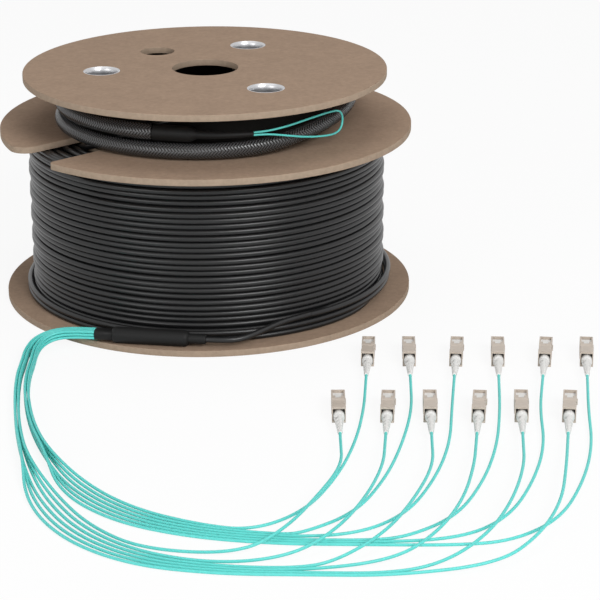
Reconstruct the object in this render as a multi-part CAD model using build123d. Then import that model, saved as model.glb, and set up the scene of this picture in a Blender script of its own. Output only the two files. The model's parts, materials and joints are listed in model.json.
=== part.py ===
"""Fibre trunk cable on a two-chamber drum, with a fanout and twelve push-pull connectors.

The drum stands on its bottom flange, Z is its axis, and the origin is the centre of its
underside. The fanout lies on the bottom flange at the front (-Y). Its twelve legs lie on
the surface that the drum stands on. All sizes are in millimetres.
"""

from build123d import *
from math import atan2, cos, degrees, hypot, pi, radians, sin, tan
import os

# Drum
FLANGE_RADIUS = 125.0
TOP_FLANGE_RADIUS = 110.0
BOARD = 3.9
DRUM_WIDTH = 98.5
UPPER_WIDTH = 29.1
BORE_RADIUS = 20.0
DRIVE_HOLE_RADIUS = 10.5
DRIVE_HOLE_PITCH_RADIUS = 52.4
DRIVE_HOLE_ANGLE = 124.25
BARREL_RADIUS = 80.0
BARREL_WALL = 4.0
UPPER_BARREL_STEP = 4.0
UPPER_BARREL_WALL = 3.0
TIE_CLEARANCE = 0.5
TIE_FIRST_ANGLE = -55.75
TIE_COUNT = 3
TIE_TUBE_RADIUS = 10.0
TIE_TUBE_WALL = 0.7
TIE_LIP_RADIUS = 11.2
TIE_LIP_THICK = 0.7
SLOT_HEADING = -141.2
SLOT_WIDTH = 32.4
SLOT_OFFSET = -6.3
SLOT_CORNER_RADIUS = 3.0

# Trunk cable
CABLE_RADIUS = 1.75
WINDING_TURNS = 28
WINDING_LAYERS_DEPTH = 29.0
WINDING_CLEARANCE = 0.1
WINDING_SIDES = 48

# Fanout, lying on the bottom flange
FANOUT_RADIUS = 4.8
FANOUT_LENGTH = 46.0
FANOUT_SHOULDER = 3.0
FANOUT_SIDES = 24
FANOUT_NECK_LENGTH = 9.7
CABLE_NECK_RADIUS = 2.9
LEG_NECK_WIDTH = 7.9
LEG_NECK_HEIGHT = 6.1
FANOUT_HEADING = 168.2
FANOUT_ALONG = 43.55
FANOUT_NEST = 0.3

# Pulling sleeve in the upper chamber
SLEEVE_RADIUS = 4.9
SLEEVE_STAND_OFF = 11.0
SLEEVE_START_ANGLE = 50.0
SLEEVE_CLIMB = (290.0, 340.0)
SLEEVE_END_ANGLE = 598.4
SLEEVE_END_RUN = 17.0
SLEEVE_END_HEADING = -17.0
SLEEVE_STEP = 27.85
SLEEVE_SIDES = 8
SLEEVE_CLEARANCE = 0.15
PULL_BOOT_RADIUS = 4.5
PULL_BOOT_LENGTH = 26.0
PULL_NECK_RADII = (3.0, 1.9)
PULL_NECK_LENGTH = 33.0
PULL_NECK_TURN = 33.0
PULL_NECK_STEPS = 3
PULL_LOOP_RADIUS = 0.6
PULL_LOOP_STRADDLE = 0.75
PULL_LOOP_LEAD = 8.0

# Fanout legs
LEG_RADIUS = 0.8
LEG_SIDES = 6
LEG_GRID = 1.8
LEGS_IN_ROW = 6

# Connector, measured from the cable end of its boot
BOOT_TIP_RADIUS = 1.25
BOOT_TAPER_RADIUS = 2.6
BOOT_COLLAR_RADIUS = 3.0
BOOT_TAPER_LENGTH = 20.0
BOOT_BORE_RADIUS = 1.0
BOOT_SIDES = 12
BOOT_LENGTH = 26.0
CRIMP_BARREL_RADIUS = 1.9
CRIMP_FLANGE_RADIUS = 3.0
CRIMP_FLANGE_START = 26.1
FRAME_START = 31.0
FRAME_SHOULDER = 47.0
FRAME_WIDTH = 6.4
FRAME_DEPTH = 6.2
NOSE_WIDTH = 5.4
NOSE_END = 51.7
FRAME_CAVITY = 4.6
NOSE_BORE_RADIUS = 1.85
NOSE_BORE_START = 44.5
SPRING_START = 36.4
SPRING_RADII = (2.1, 1.6)
FERRULE_RADIUS = 1.25
FERRULE_START = 36.0
FERRULE_END = 54.7
FERRULE_FLANGE = (42.4, 44.4)
FERRULE_FLANGE_RADIUS = 2.2
FERRULE_TAIL_RADIUS = 1.15
FERRULE_CHAMFER = 0.3
GRIP_START = 24.5
GRIP_END = 49.9
GRIP_WIDTH = 9.0
GRIP_DEPTH = 7.4
GRIP_WAIST = 0.35
GRIP_CLEARANCE = 0.05
GRIP_FRONT_WALL = 1.5
GRIP_CHAMFER = 1.2
WINDOW_WIDTH = 5.8
WINDOW_START = 40.4
TONGUE_WIDTH = 3.1
TONGUE_START = 37.8
KEY_SIZE = (1.9, 4.8)
KEY_START = 40.4
KEY_HEIGHT = 0.5

# Places worked out from the sizes above
UPPER_BARREL_RADIUS = BARREL_RADIUS - UPPER_BARREL_STEP
TIE_PITCH_RADIUS = UPPER_BARREL_RADIUS - UPPER_BARREL_WALL - TIE_TUBE_RADIUS - TIE_CLEARANCE
WINDING_RADIUS = BARREL_RADIUS + WINDING_LAYERS_DEPTH
BASE_TURN_RADIUS = WINDING_RADIUS + 2 * CABLE_RADIUS + 0.2
FANOUT_AXIS_RADIUS = BASE_TURN_RADIUS + FANOUT_RADIUS - FANOUT_NEST
SLEEVE_PITCH_RADIUS = UPPER_BARREL_RADIUS + SLEEVE_STAND_OFF
MIDDLE_Z = BOARD + DRUM_WIDTH
UPPER_Z = MIDDLE_Z + BOARD
TOP_Z = UPPER_Z + UPPER_WIDTH
HEIGHT = TOP_Z + BOARD
FANOUT_Z = BOARD + FANOUT_RADIUS
SLEEVE_REACH = 1.06 * SLEEVE_RADIUS
SLEEVE_LOW_Z = UPPER_Z + SLEEVE_REACH + SLEEVE_CLEARANCE
SLEEVE_HIGH_Z = SLEEVE_LOW_Z + 2 * SLEEVE_REACH + SLEEVE_CLEARANCE
PLUG_AXIS_Z = GRIP_WIDTH / 2

# Routes, as points chosen along each cord: x, y, z. Those of the legs, the tail and the
# connectors are for a fanout whose legs' end is here, and move with it.
LAYOUT_NECK_END = (-66.597, -105.817)
TAIL_FIRST_RUN = 10.5
TAIL_ROUTE = [
    (18.0, -119.4, 8.6),
    (29.0, -112.4, 10.4),
    (41.0, -104.6, 13.0),
    (53.0, -97.8, 13.6),
    (63.5, -90.4, 13.5),
    (71.0, -81.8, 13.4),
]
LOOP_ROUTE = [
    (46.4, -82.2, 124.4),
    (57.0, -75.3, 126.0),
    (66.0, -67.6, 126.8),
    (73.0, -59.9, 126.7),
    (77.8, -53.5, 125.6),
    (80.1, -50.0, 121.8),
    (80.1, -50.0, 116.4),
    (77.8, -53.5, 112.6),
    (73.1, -59.8, 112.5),
    (66.0, -67.6, 113.8),
    (56.4, -75.7, 116.0),
    (46.2, -82.3, 118.9),
]
# Lead from the winding through the slot to the sleeve: angle, distance out from the upper barrel, z
LEAD_ROUTE = [
    (-172, 7.0, 96.6),
    (-158, 6.9, 99.4),
    (-144, 6.3, 104.8),
    (-130, 2.8, 112.6),
    (-116, 3.0, 122.0),
    (-103, 5.0, 128.6),
    (-88, 9.0, 129.8),
    (-66, 12.0, 129.9),
    (-44, 12.0, 129.8),
    (-24, 8.0, 129.6),
    (-8, 3.4, 126.4),
    (6, 2.9, 119.6),
    (20, 4.4, 113.2),
    (34, 8.8, 111.7),
    (48, 12.6, 111.7),
    (57, 12.4, 111.7),
]

# Legs on the surface: centre of the six, height of the lowest, and how they lie there.
# "stack" is two columns of three, "fan" is six side by side, each with its spacing.
APPROACH = [
    (-77.4, -103.55, 6.9, "stack", 1.8),
    (-89.8, -102.6, 5.9, "stack", 1.88),
    (-99.0, -108.6, 3.9, "stack", 1.9),
    (-103.0, -120.0, 1.9, "stack", 1.85),
]
FRONT_STATIONS = [
    (-106.2, -136.0, 0.9, "stack", 1.8),
    (-107.4, -156.0, 0.9, "stack", 1.8),
    (-106.4, -186.0, 0.9, "stack", 1.8),
    (-102.6, -228.0, 0.9, "stack", 1.8),
    (-95.8, -269.0, 0.9, "stack", 2.3),
    (-85.0, -311.0, 0.9, "fan", 3.2),
    (-66.0, -350.0, 0.9, "fan", 3.6),
    (-37.0, -377.0, 0.9, "fan", 3.3),
    (1.0, -390.0, 0.9, "fan", 2.5),
    (41.0, -394.0, 0.9, "fan", 2.1),
    (82.0, -397.0, 0.9, "fan", 2.1),
]
REAR_STATIONS = [
    (-101.2, -136.0, 0.9, "stack", 1.8),
    (-102.4, -156.0, 0.9, "stack", 1.8),
    (-101.2, -185.0, 0.9, "stack", 1.8),
    (-95.4, -225.0, 0.9, "stack", 1.8),
    (-85.0, -263.0, 0.9, "stack", 2.3),
    (-70.0, -300.0, 0.9, "fan", 3.1),
    (-44.0, -332.0, 0.9, "fan", 3.3),
    (-10.0, -351.0, 0.9, "fan", 2.8),
    (30.0, -361.0, 0.9, "fan", 2.5),
    (72.0, -365.0, 0.9, "fan", 2.1),
    (114.0, -368.0, 0.9, "fan", 2.1),
]
# From the row of six up to a boot, as steps back from the boot's end: dx, dy, z
FRONT_TURN = [(-55.0, -137.0, 2.6), (-33.0, -118.0, 6.6), (-17.0, -84.0, 6.8)]
REAR_TURN = [(-68.0, -189.0, 0.9), (-42.0, -168.0, 0.9), (-24.0, -128.0, 0.9), (-12.0, -86.0, 1.1)]
FRONT_STRAIGHT = [(44.0, 6.2), (10.0, 4.6)]
REAR_STRAIGHT = [(44.0, 2.6), (10.0, 4.5)]
APPROACH_SPREAD = (1.0, 1.05, 1.15, 1.3)
CABLE_IN_BOOT = 20.0
MIN_BAND_RUN = 12.0
BAND_SPACING = 2.0

# Boot ends of the two rows, x, y, and the heading of each connector off +Y
FRONT_PLUGS = [
    (66.4, -248.0, 2.2),
    (90.2, -249.5, 6.4),
    (114.0, -250.5, 4.6),
    (137.6, -252.0, 8.8),
    (161.4, -253.0, 6.9),
    (185.0, -254.5, 10.4),
]
REAR_PLUGS = [
    (86.0, -168.5, 5.9),
    (110.4, -170.0, 4.1),
    (134.9, -171.5, 8.2),
    (159.4, -173.0, 6.6),
    (183.9, -174.5, 10.6),
    (208.4, -176.0, 8.8),
]


def polar(angle, radius, z):
    """A point at an angle in degrees round the drum's axis."""
    return (radius * cos(radians(angle)), radius * sin(radians(angle)), z)


def cord_path(points):
    """Straight runs joined by arcs as large as the runs allow, and the arcs' radii."""
    spots = [Vector(*point) for point in points]
    radii = []
    for before, corner, after in zip(spots, spots[1:], spots[2:]):
        run_in, run_out = corner - before, after - corner
        half_turn = radians(run_in.get_angle(run_out)) / 2
        radii.append(0.45 * min(run_in.length, run_out.length) / tan(half_turn))
    return FilletPolyline(*spots, radius=radii), radii


def cord(name, points, section):
    """A plain tube along a route; prints its length, tightest arc and volume check."""
    path, radii = cord_path(points)
    face = Plane(origin=path @ 0, z_dir=path % 0) * section
    tube = sweep(face, path=path)
    share = tube.volume / (face.area * path.length)
    smallest = ", ".join(f"{r:.0f}" for r in radii)
    print(f"{name} length {path.length:.1f} volume share {share:.4f} radii {smallest}")
    return tube


def round_section(radius, sides):
    """A regular polygon with the same area as the circle."""
    corner = radius * (2 * pi / (sides * sin(2 * pi / sides))) ** 0.5
    return RegularPolygon(corner, sides)


def ringed(profile, sides):
    """A solid through many-sided rings, each given as its place along Z and its radius."""
    rings = [Pos(0, 0, along) * RegularPolygon(radius, sides) for along, radius in profile]
    return loft(rings, ruled=True)


# Drum
def tie_places():
    step = 360 / TIE_COUNT
    return [polar(TIE_FIRST_ANGLE + step * i, TIE_PITCH_RADIUS, 0)[:2] for i in range(TIE_COUNT)]


def flange(radius, z, lip_up=None):
    """A board disc with its bore, drive hole and tie holes, recessed for the tubes' lips."""
    disc = Cylinder(radius, BOARD, align=(Align.CENTER, Align.CENTER, Align.MIN))
    hole_height = 3 * BOARD
    disc -= Cylinder(BORE_RADIUS, hole_height)
    drive_x, drive_y, _ = polar(DRIVE_HOLE_ANGLE, DRIVE_HOLE_PITCH_RADIUS, 0)
    disc -= Pos(drive_x, drive_y, 0) * Cylinder(DRIVE_HOLE_RADIUS, hole_height)
    for x, y in tie_places():
        disc -= Pos(x, y, 0) * Cylinder(TIE_TUBE_RADIUS + 0.1, hole_height)
        if lip_up is not None:
            seat = BOARD if lip_up else 0
            disc -= Pos(x, y, seat) * Cylinder(TIE_LIP_RADIUS + 0.1, 2 * TIE_LIP_THICK)
    return Pos(0, 0, z) * disc


def middle_flange():
    """The middle board, with the slot that lets the cable's inner end into the upper chamber."""
    inner_end = UPPER_BARREL_RADIUS + 0.3
    length = FLANGE_RADIUS + 10 - inner_end
    cutter = Pos(inner_end + length / 2, SLOT_OFFSET) * Rectangle(length, SLOT_WIDTH)
    slot = Pos(0, 0, MIDDLE_Z) * Rot(0, 0, SLOT_HEADING) * extrude(cutter, BOARD)
    board = flange(FLANGE_RADIUS, MIDDLE_Z) - slot
    rim_corners = [
        edge
        for edge in board.edges().filter_by(Axis.Z)
        if hypot(edge.center().X, edge.center().Y) > FLANGE_RADIUS - 1
        and edge.center().X < -50
    ]
    return fillet(rim_corners, SLOT_CORNER_RADIUS)


def barrel(radius, wall, z, length):
    tube = Cylinder(radius, length, align=(Align.CENTER, Align.CENTER, Align.MIN))
    tube -= Cylinder(radius - wall, 3 * length)
    return Pos(0, 0, z) * tube


def tie_tubes():
    """Three steel tubes through all the boards, rolled over a recess at each end."""
    inner = TIE_TUBE_RADIUS - TIE_TUBE_WALL
    outline = Polyline(
        (inner, 0),
        (TIE_LIP_RADIUS, 0),
        (TIE_LIP_RADIUS, TIE_LIP_THICK),
        (TIE_TUBE_RADIUS, TIE_LIP_THICK),
        (TIE_TUBE_RADIUS, HEIGHT - TIE_LIP_THICK),
        (TIE_LIP_RADIUS, HEIGHT - TIE_LIP_THICK),
        (TIE_LIP_RADIUS, HEIGHT),
        (inner, HEIGHT),
        close=True,
    )
    tube = revolve(Plane.XZ * make_face(outline), Axis.Z)
    return [Pos(x, y, 0) * tube for x, y in tie_places()]


# Trunk cable
def trunk_winding():
    """All the turns as one body: a crest for each turn of the outer layer, and a wider base turn."""
    low = BOARD + WINDING_CLEARANCE
    pitch = (DRUM_WIDTH - 2 * WINDING_CLEARANCE) / WINDING_TURNS
    levels = [(low, BASE_TURN_RADIUS - CABLE_RADIUS)]
    for turn in range(WINDING_TURNS):
        crest = BASE_TURN_RADIUS if turn == 0 else WINDING_RADIUS
        levels.append((low + (turn + 0.5) * pitch, crest))
        levels.append((low + (turn + 1) * pitch, WINDING_RADIUS - CABLE_RADIUS))
    rings = [Pos(0, 0, z) * RegularPolygon(radius, WINDING_SIDES) for z, radius in levels]
    pack = loft(rings, ruled=True)
    return pack - Cylinder(BARREL_RADIUS + WINDING_CLEARANCE, 3 * HEIGHT)


def fanout_frame():
    """The fanout's axis: origin at the legs' end, Z pointing the way the legs leave."""
    heading = radians(FANOUT_HEADING)
    out = Vector(cos(heading), sin(heading), 0)
    across = Vector(-sin(heading), cos(heading), 0)
    end = across * FANOUT_AXIS_RADIUS + out * FANOUT_ALONG + Vector(0, 0, FANOUT_Z)
    return Plane(origin=end, z_dir=out, x_dir=across)


def layout_shift():
    """How far the legs and connectors move with the fanout from the place they were laid out for."""
    x, y = LAYOUT_NECK_END
    return fanout_frame().origin - Vector(x, y, FANOUT_Z)


def fanout_body():
    """Moulded cylinder with rounded shoulders, as rings of a many-sided section."""
    shoulder = []
    for turn in (0, 30, 60, 90):
        inset = FANOUT_SHOULDER * (1 - sin(radians(turn)))
        shoulder.append((FANOUT_SHOULDER * (1 - cos(radians(turn))), FANOUT_RADIUS - inset))
    far = [(FANOUT_LENGTH - along, radius) for along, radius in reversed(shoulder)]
    body = ringed(shoulder + far, FANOUT_SIDES)
    return fanout_frame() * Pos(0, 0, -FANOUT_NECK_LENGTH - FANOUT_LENGTH) * body


def fanout_leg_boot():
    section = RectangleRounded(LEG_NECK_WIDTH, LEG_NECK_HEIGHT, LEG_NECK_HEIGHT * 0.42)
    neck = extrude(section, FANOUT_NECK_LENGTH)
    return fanout_frame() * Pos(0, 0, -FANOUT_NECK_LENGTH) * neck


def fanout_cable_boot():
    neck = Cylinder(CABLE_NECK_RADIUS, FANOUT_NECK_LENGTH)
    away = 1.5 * FANOUT_NECK_LENGTH + FANOUT_LENGTH
    return fanout_frame() * Pos(0, 0, -away) * neck


def trunk_tail():
    neck = fanout_frame()
    start = neck.origin - neck.z_dir * (2 * FANOUT_NECK_LENGTH + FANOUT_LENGTH)
    points = [tuple(start), tuple(start - neck.z_dir * TAIL_FIRST_RUN)]
    points += [tuple(Vector(*point) + layout_shift()) for point in TAIL_ROUTE]
    return cord("trunk_tail", points, round_section(CABLE_RADIUS, 12))


# Upper chamber
def level_heading(angle):
    return Vector(cos(radians(angle)), sin(radians(angle)), 0)


def sleeve_height(angle):
    low, high = SLEEVE_CLIMB
    share = min(max((angle - low) / (high - low), 0), 1)
    return SLEEVE_LOW_Z + (SLEEVE_HIGH_Z - SLEEVE_LOW_Z) * share


def sleeve_points():
    """The braided sleeve's route on the middle board, climbing once over its own first turn."""
    steps = round((SLEEVE_END_ANGLE - SLEEVE_START_ANGLE) / SLEEVE_STEP)
    step = (SLEEVE_END_ANGLE - SLEEVE_START_ANGLE) / steps
    angles = [SLEEVE_START_ANGLE + step * i for i in range(steps + 1)]
    corner_radius = SLEEVE_PITCH_RADIUS / cos(radians(step / 2))
    points = [Vector(*polar(a, corner_radius, sleeve_height(a))) for a in angles]
    points.append(points[-1] + level_heading(SLEEVE_END_HEADING) * SLEEVE_END_RUN)
    return points


def pulling_sleeve():
    points = [tuple(p) for p in sleeve_points()]
    return cord("pulling_sleeve", points, round_section(SLEEVE_RADIUS, SLEEVE_SIDES))


def sleeve_lead():
    """The cable's inner end, up through the slot and over the coil into the sleeve."""
    points = [polar(angle, UPPER_BARREL_RADIUS + out, z) for angle, out, z in LEAD_ROUTE]
    return cord("sleeve_lead", points, round_section(CABLE_RADIUS, SLEEVE_SIDES))


def pull_neck_places():
    """Planes across the neck of the pulling end, which bends back round the coil."""
    spot = sleeve_points()[-1] + level_heading(SLEEVE_END_HEADING) * PULL_BOOT_LENGTH
    step = PULL_NECK_LENGTH / PULL_NECK_STEPS
    heading = SLEEVE_END_HEADING
    places = []
    for number in range(PULL_NECK_STEPS + 1):
        places.append(Plane(origin=spot, z_dir=level_heading(heading), x_dir=(0, 0, 1)))
        heading += PULL_NECK_TURN / PULL_NECK_STEPS
        spot += level_heading(heading - PULL_NECK_TURN / PULL_NECK_STEPS / 2) * step
    return places


def pulling_end():
    """Moulded end of the sleeve: a thick boot and a long neck that tapers to the loop."""
    wide, slim = PULL_NECK_RADII
    taper = 4.0
    outline = Polyline(
        (0, 0),
        (PULL_BOOT_RADIUS, 0),
        (PULL_BOOT_RADIUS, PULL_BOOT_LENGTH - taper),
        (wide, PULL_BOOT_LENGTH),
        (0, PULL_BOOT_LENGTH),
        close=True,
    )
    heading = level_heading(SLEEVE_END_HEADING)
    start = Plane(origin=sleeve_points()[-1], z_dir=heading, x_dir=(0, 0, 1))
    boot_part = start * revolve(Plane.XZ * make_face(outline), Axis.Z)
    rings = []
    for number, place in enumerate(pull_neck_places()):
        radius = wide + (slim - wide) * number / PULL_NECK_STEPS
        rings.append(place * RegularPolygon(radius, 12))
    return boot_part + loft(rings, ruled=True)


def pull_loop():
    """Cord loop moulded into the neck, both its ends side by side in the neck's face."""
    tip = pull_neck_places()[-1]
    above = tip.origin + tip.x_dir * PULL_LOOP_STRADDLE
    below = tip.origin - tip.x_dir * PULL_LOOP_STRADDLE
    ahead = tip.z_dir * PULL_LOOP_LEAD
    points = [tuple(above), tuple(above + ahead)]
    points += LOOP_ROUTE
    points += [tuple(below + ahead), tuple(below)]
    return cord("pull_loop", points, round_section(PULL_LOOP_RADIUS, LEG_SIDES))


# Connectors
def plug_frame(place):
    """A connector's axis: origin at the boot's cable end, Z to the tip, X up."""
    x, y, heading = place
    turn = radians(90 - heading)
    origin = Vector(x, y, PLUG_AXIS_Z) + layout_shift()
    return Plane(origin=origin, z_dir=(cos(turn), sin(turn), 0), x_dir=(0, 0, 1))


def slab(width, depth, start, end):
    """A block centred on the axis from start to end."""
    base = Pos(0, 0, start) * Rectangle(width, depth)
    return extrude(base, end - start)


def grip():
    """Outer push-pull sleeve with its waist, two windows and the key on one broad side."""
    chamfer = GRIP_CHAMFER
    waist = (GRIP_START + 4.2, GRIP_START + 5.8, GRIP_START + 10.2, GRIP_START + 11.8)

    def side(half, front):
        right = [
            (half, GRIP_START),
            (half, waist[0]),
            (half - GRIP_WAIST, waist[1]),
            (half - GRIP_WAIST, waist[2]),
            (half, waist[3]),
            (half, GRIP_END - front),
            (half - front, GRIP_END),
        ]
        return right + [(-x, z) for x, z in reversed(right)]

    wide = Plane.XZ * make_face(Polyline(*side(GRIP_WIDTH / 2, chamfer), close=True))
    deep = Plane.YZ * make_face(Polyline(*side(GRIP_DEPTH / 2, 0.3), close=True))
    body = extrude(wide, GRIP_DEPTH, both=True) & extrude(deep, GRIP_WIDTH, both=True)
    room = 2 * GRIP_CLEARANCE
    body -= slab(FRAME_WIDTH + room, FRAME_DEPTH + room, GRIP_START - 1, GRIP_END - GRIP_FRONT_WALL)
    body -= slab(NOSE_WIDTH + room, FRAME_DEPTH + room, GRIP_START, GRIP_END + 1)
    body -= slab(2 * GRIP_WIDTH, WINDOW_WIDTH, WINDOW_START, GRIP_END - GRIP_FRONT_WALL)
    body -= slab(2 * GRIP_WIDTH, TONGUE_WIDTH, TONGUE_START, WINDOW_START + 1)
    key = slab(KEY_SIZE[0], KEY_HEIGHT, KEY_START, KEY_START + KEY_SIZE[1])
    body += Pos(0, (GRIP_DEPTH + KEY_HEIGHT) / 2 - 0.02, 0) * key
    return body


def inner_frame():
    """White inner frame with the square nose round the ferrule."""
    body = slab(FRAME_WIDTH, FRAME_DEPTH, FRAME_START, FRAME_SHOULDER)
    body += slab(NOSE_WIDTH, FRAME_DEPTH, FRAME_SHOULDER, NOSE_END)
    body -= slab(FRAME_CAVITY, FRAME_CAVITY, FRAME_START - 1, NOSE_BORE_START)
    length = NOSE_END - NOSE_BORE_START + 2
    bore = Cylinder(NOSE_BORE_RADIUS, length, align=(Align.CENTER, Align.CENTER, Align.MIN))
    body -= Pos(0, 0, NOSE_BORE_START - 1) * bore
    body -= slab(NOSE_WIDTH - 0.9, 1.1, NOSE_END - 0.8, NOSE_END + 1)
    return body


def boot():
    """Tapered bend relief with its bore for the leg and a socket over the crimp barrel."""
    outside = [
        (0, BOOT_TIP_RADIUS),
        (BOOT_TAPER_LENGTH, BOOT_TAPER_RADIUS),
        (BOOT_TAPER_LENGTH + 0.4, BOOT_COLLAR_RADIUS),
        (BOOT_LENGTH, BOOT_COLLAR_RADIUS),
    ]
    socket = CRIMP_BARREL_RADIUS + 2 * GRIP_CLEARANCE
    body = ringed(outside, BOOT_SIDES)
    body -= extrude(RegularPolygon(BOOT_BORE_RADIUS, 8), BOOT_LENGTH)
    return body - ringed([(CABLE_IN_BOOT, socket), (BOOT_LENGTH + 1, socket)], BOOT_SIDES)


def crimp_body():
    """Metal body behind the spring: barrel in the boot, flange against the frame, spigot inside."""
    barrel_part = Pos(0, 0, CABLE_IN_BOOT) * RegularPolygon(CRIMP_BARREL_RADIUS, 6)
    body = extrude(barrel_part, CRIMP_FLANGE_START - CABLE_IN_BOOT)
    flange_part = Pos(0, 0, CRIMP_FLANGE_START) * RegularPolygon(CRIMP_FLANGE_RADIUS, 8)
    body += extrude(flange_part, FRAME_START - CRIMP_FLANGE_START)
    spigot = FRAME_CAVITY - 2 * GRIP_CLEARANCE
    body += slab(spigot, spigot, FRAME_START, SPRING_START)
    tail_room = 3.0
    return body - slab(2 * 1.4, 2 * 1.4, SPRING_START - tail_room, SPRING_START + 1)


def ferrule_spring():
    """Coil spring behind the ferrule's flange, drawn as its closed sleeve."""
    outer, inner = SPRING_RADII
    ring = RegularPolygon(outer, 8) - RegularPolygon(inner, 8)
    return extrude(Pos(0, 0, SPRING_START) * ring, FERRULE_FLANGE[0] - SPRING_START)


def ferrule():
    """Ceramic ferrule in its keyed flange."""
    low, high = FERRULE_FLANGE
    length = FERRULE_END - high
    pin = Cylinder(FERRULE_RADIUS, length, align=(Align.CENTER, Align.CENTER, Align.MIN))
    pin = chamfer(pin.edges().group_by(Axis.Z)[-1], FERRULE_CHAMFER)
    tail = Pos(0, 0, FERRULE_START) * RegularPolygon(FERRULE_TAIL_RADIUS, 6)
    collar = extrude(Pos(0, 0, low) * RegularPolygon(FERRULE_FLANGE_RADIUS, 6), high - low)
    return Pos(0, 0, high) * pin + collar + extrude(tail, low - FERRULE_START)


# Legs
def lane_offset(index, kind, spacing):
    """Where leg 0 to 5 of a group lies: sideways from the centre (inner side first), and lift."""
    if kind == "stack":
        side = 0.5 if index < 3 else -0.5
        row = (2, 1, 0, 0, 1, 2)[index]
        return side * spacing, row * spacing
    return (2.5 - index) * spacing, 0.0


def station_points(stations, index, shift):
    """One leg's points at the stations; shift moves the group sideways on the shared stretch."""
    points = []
    for number, (x, y, z, kind, spacing) in enumerate(stations):
        before = stations[max(number - 1, 0)]
        after = stations[min(number + 1, len(stations) - 1)]
        heading = atan2(after[1] - before[1], after[0] - before[0])
        if number == 0:
            heading = radians(FANOUT_HEADING)
        side, lift = lane_offset(index, kind, spacing)
        side += shift[number] if number < len(shift) else 0
        points.append((x - side * sin(heading), y + side * cos(heading), z + lift))
    return points


def leg_points(index, plug, stations, turn, straight, inner_group):
    """A leg's whole route from the fanout's neck to the crimp inside its boot."""
    shift = 1 if inner_group else -1
    neck = fanout_frame()
    side, lift = lane_offset(index, "stack", LEG_GRID)
    across = side + shift * LEG_GRID
    start = neck.origin + neck.x_dir * across + Vector(0, 0, lift - LEG_GRID)
    x, y, heading = plug
    move = layout_shift()
    first_x = x + turn[0][0]
    chosen = APPROACH + stations
    shifts = [shift * LEG_GRID * grow for grow in APPROACH_SPREAD]
    lanes = station_points(chosen, index, shifts)
    kept = [p for p, s in zip(lanes, chosen) if s[0] < first_x - MIN_BAND_RUN]
    out = Vector(sin(radians(heading)), cos(radians(heading)), 0)
    lane = (2.5 - index) * BAND_SPACING
    bend = [(x + dx, y + dy + lane * (1 - n / len(turn)), z) for n, (dx, dy, z) in enumerate(turn)]
    tail = [(x - out.X * back, y - out.Y * back, z) for back, z in straight]
    end = (x + out.X * CABLE_IN_BOOT, y + out.Y * CABLE_IN_BOOT, PLUG_AXIS_Z)
    laid = [tuple(Vector(*point) + move) for point in kept + bend + tail + [end]]
    return [tuple(start)] + laid


def save(shape, name):
    export_step(shape, f"parts/{name}.step")


def main():
    os.makedirs("parts", exist_ok=True)
    save(flange(FLANGE_RADIUS, 0, lip_up=False), "bottom_flange")
    save(middle_flange(), "middle_flange")
    save(flange(TOP_FLANGE_RADIUS, TOP_Z, lip_up=True), "top_flange")
    save(barrel(BARREL_RADIUS, BARREL_WALL, BOARD, DRUM_WIDTH), "winding_barrel")
    save(barrel(UPPER_BARREL_RADIUS, UPPER_BARREL_WALL, UPPER_Z, UPPER_WIDTH), "upper_barrel")
    save(Compound(children=tie_tubes()), "tie_tubes")
    save(trunk_winding(), "trunk_winding")
    save(fanout_body(), "fanout_body")
    save(fanout_leg_boot(), "fanout_leg_boot")
    save(fanout_cable_boot(), "fanout_cable_boot")
    save(trunk_tail(), "trunk_tail")
    save(pulling_sleeve(), "pulling_sleeve")
    save(pulling_end(), "pulling_end")
    save(pull_loop(), "pull_loop")
    save(sleeve_lead(), "sleeve_lead")

    rows = [
        (FRONT_PLUGS, FRONT_STATIONS, FRONT_TURN, FRONT_STRAIGHT, False, 1),
        (REAR_PLUGS, REAR_STATIONS, REAR_TURN, REAR_STRAIGHT, True, 1 + LEGS_IN_ROW),
    ]
    leg = round_section(LEG_RADIUS, LEG_SIDES)
    groups = {"plug_frames": [], "crimp_bodies": [], "ferrule_springs": [], "boots": []}
    for plugs, stations, turn, straight, inner, first in rows:
        for index, plug in enumerate(plugs):
            number = f"{first + index:02d}"
            points = leg_points(index, plug, stations, turn, straight, inner)
            save(cord(f"leg_{number}", points, leg), f"leg_{number}")
            place = plug_frame(plug)
            save(place * grip(), f"grip_{number}")
            save(place * ferrule(), f"ferrule_{number}")
            groups["plug_frames"].append(place * inner_frame())
            groups["crimp_bodies"].append(place * crimp_body())
            groups["ferrule_springs"].append(place * ferrule_spring())
            groups["boots"].append(place * boot())
    for name, pieces in groups.items():
        save(Compound(children=pieces), name)


main()
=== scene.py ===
"""Fibre trunk cable on its drum: the visual model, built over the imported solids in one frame.

Lengths are in metres. Z is the drum's axis, z = 0 the surface it stands on, -Y the front.
"""

import json
from math import atan2, cos, pi, radians, sin, tau

import bpy
import numpy as np
from mathutils import Matrix, Vector

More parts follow.
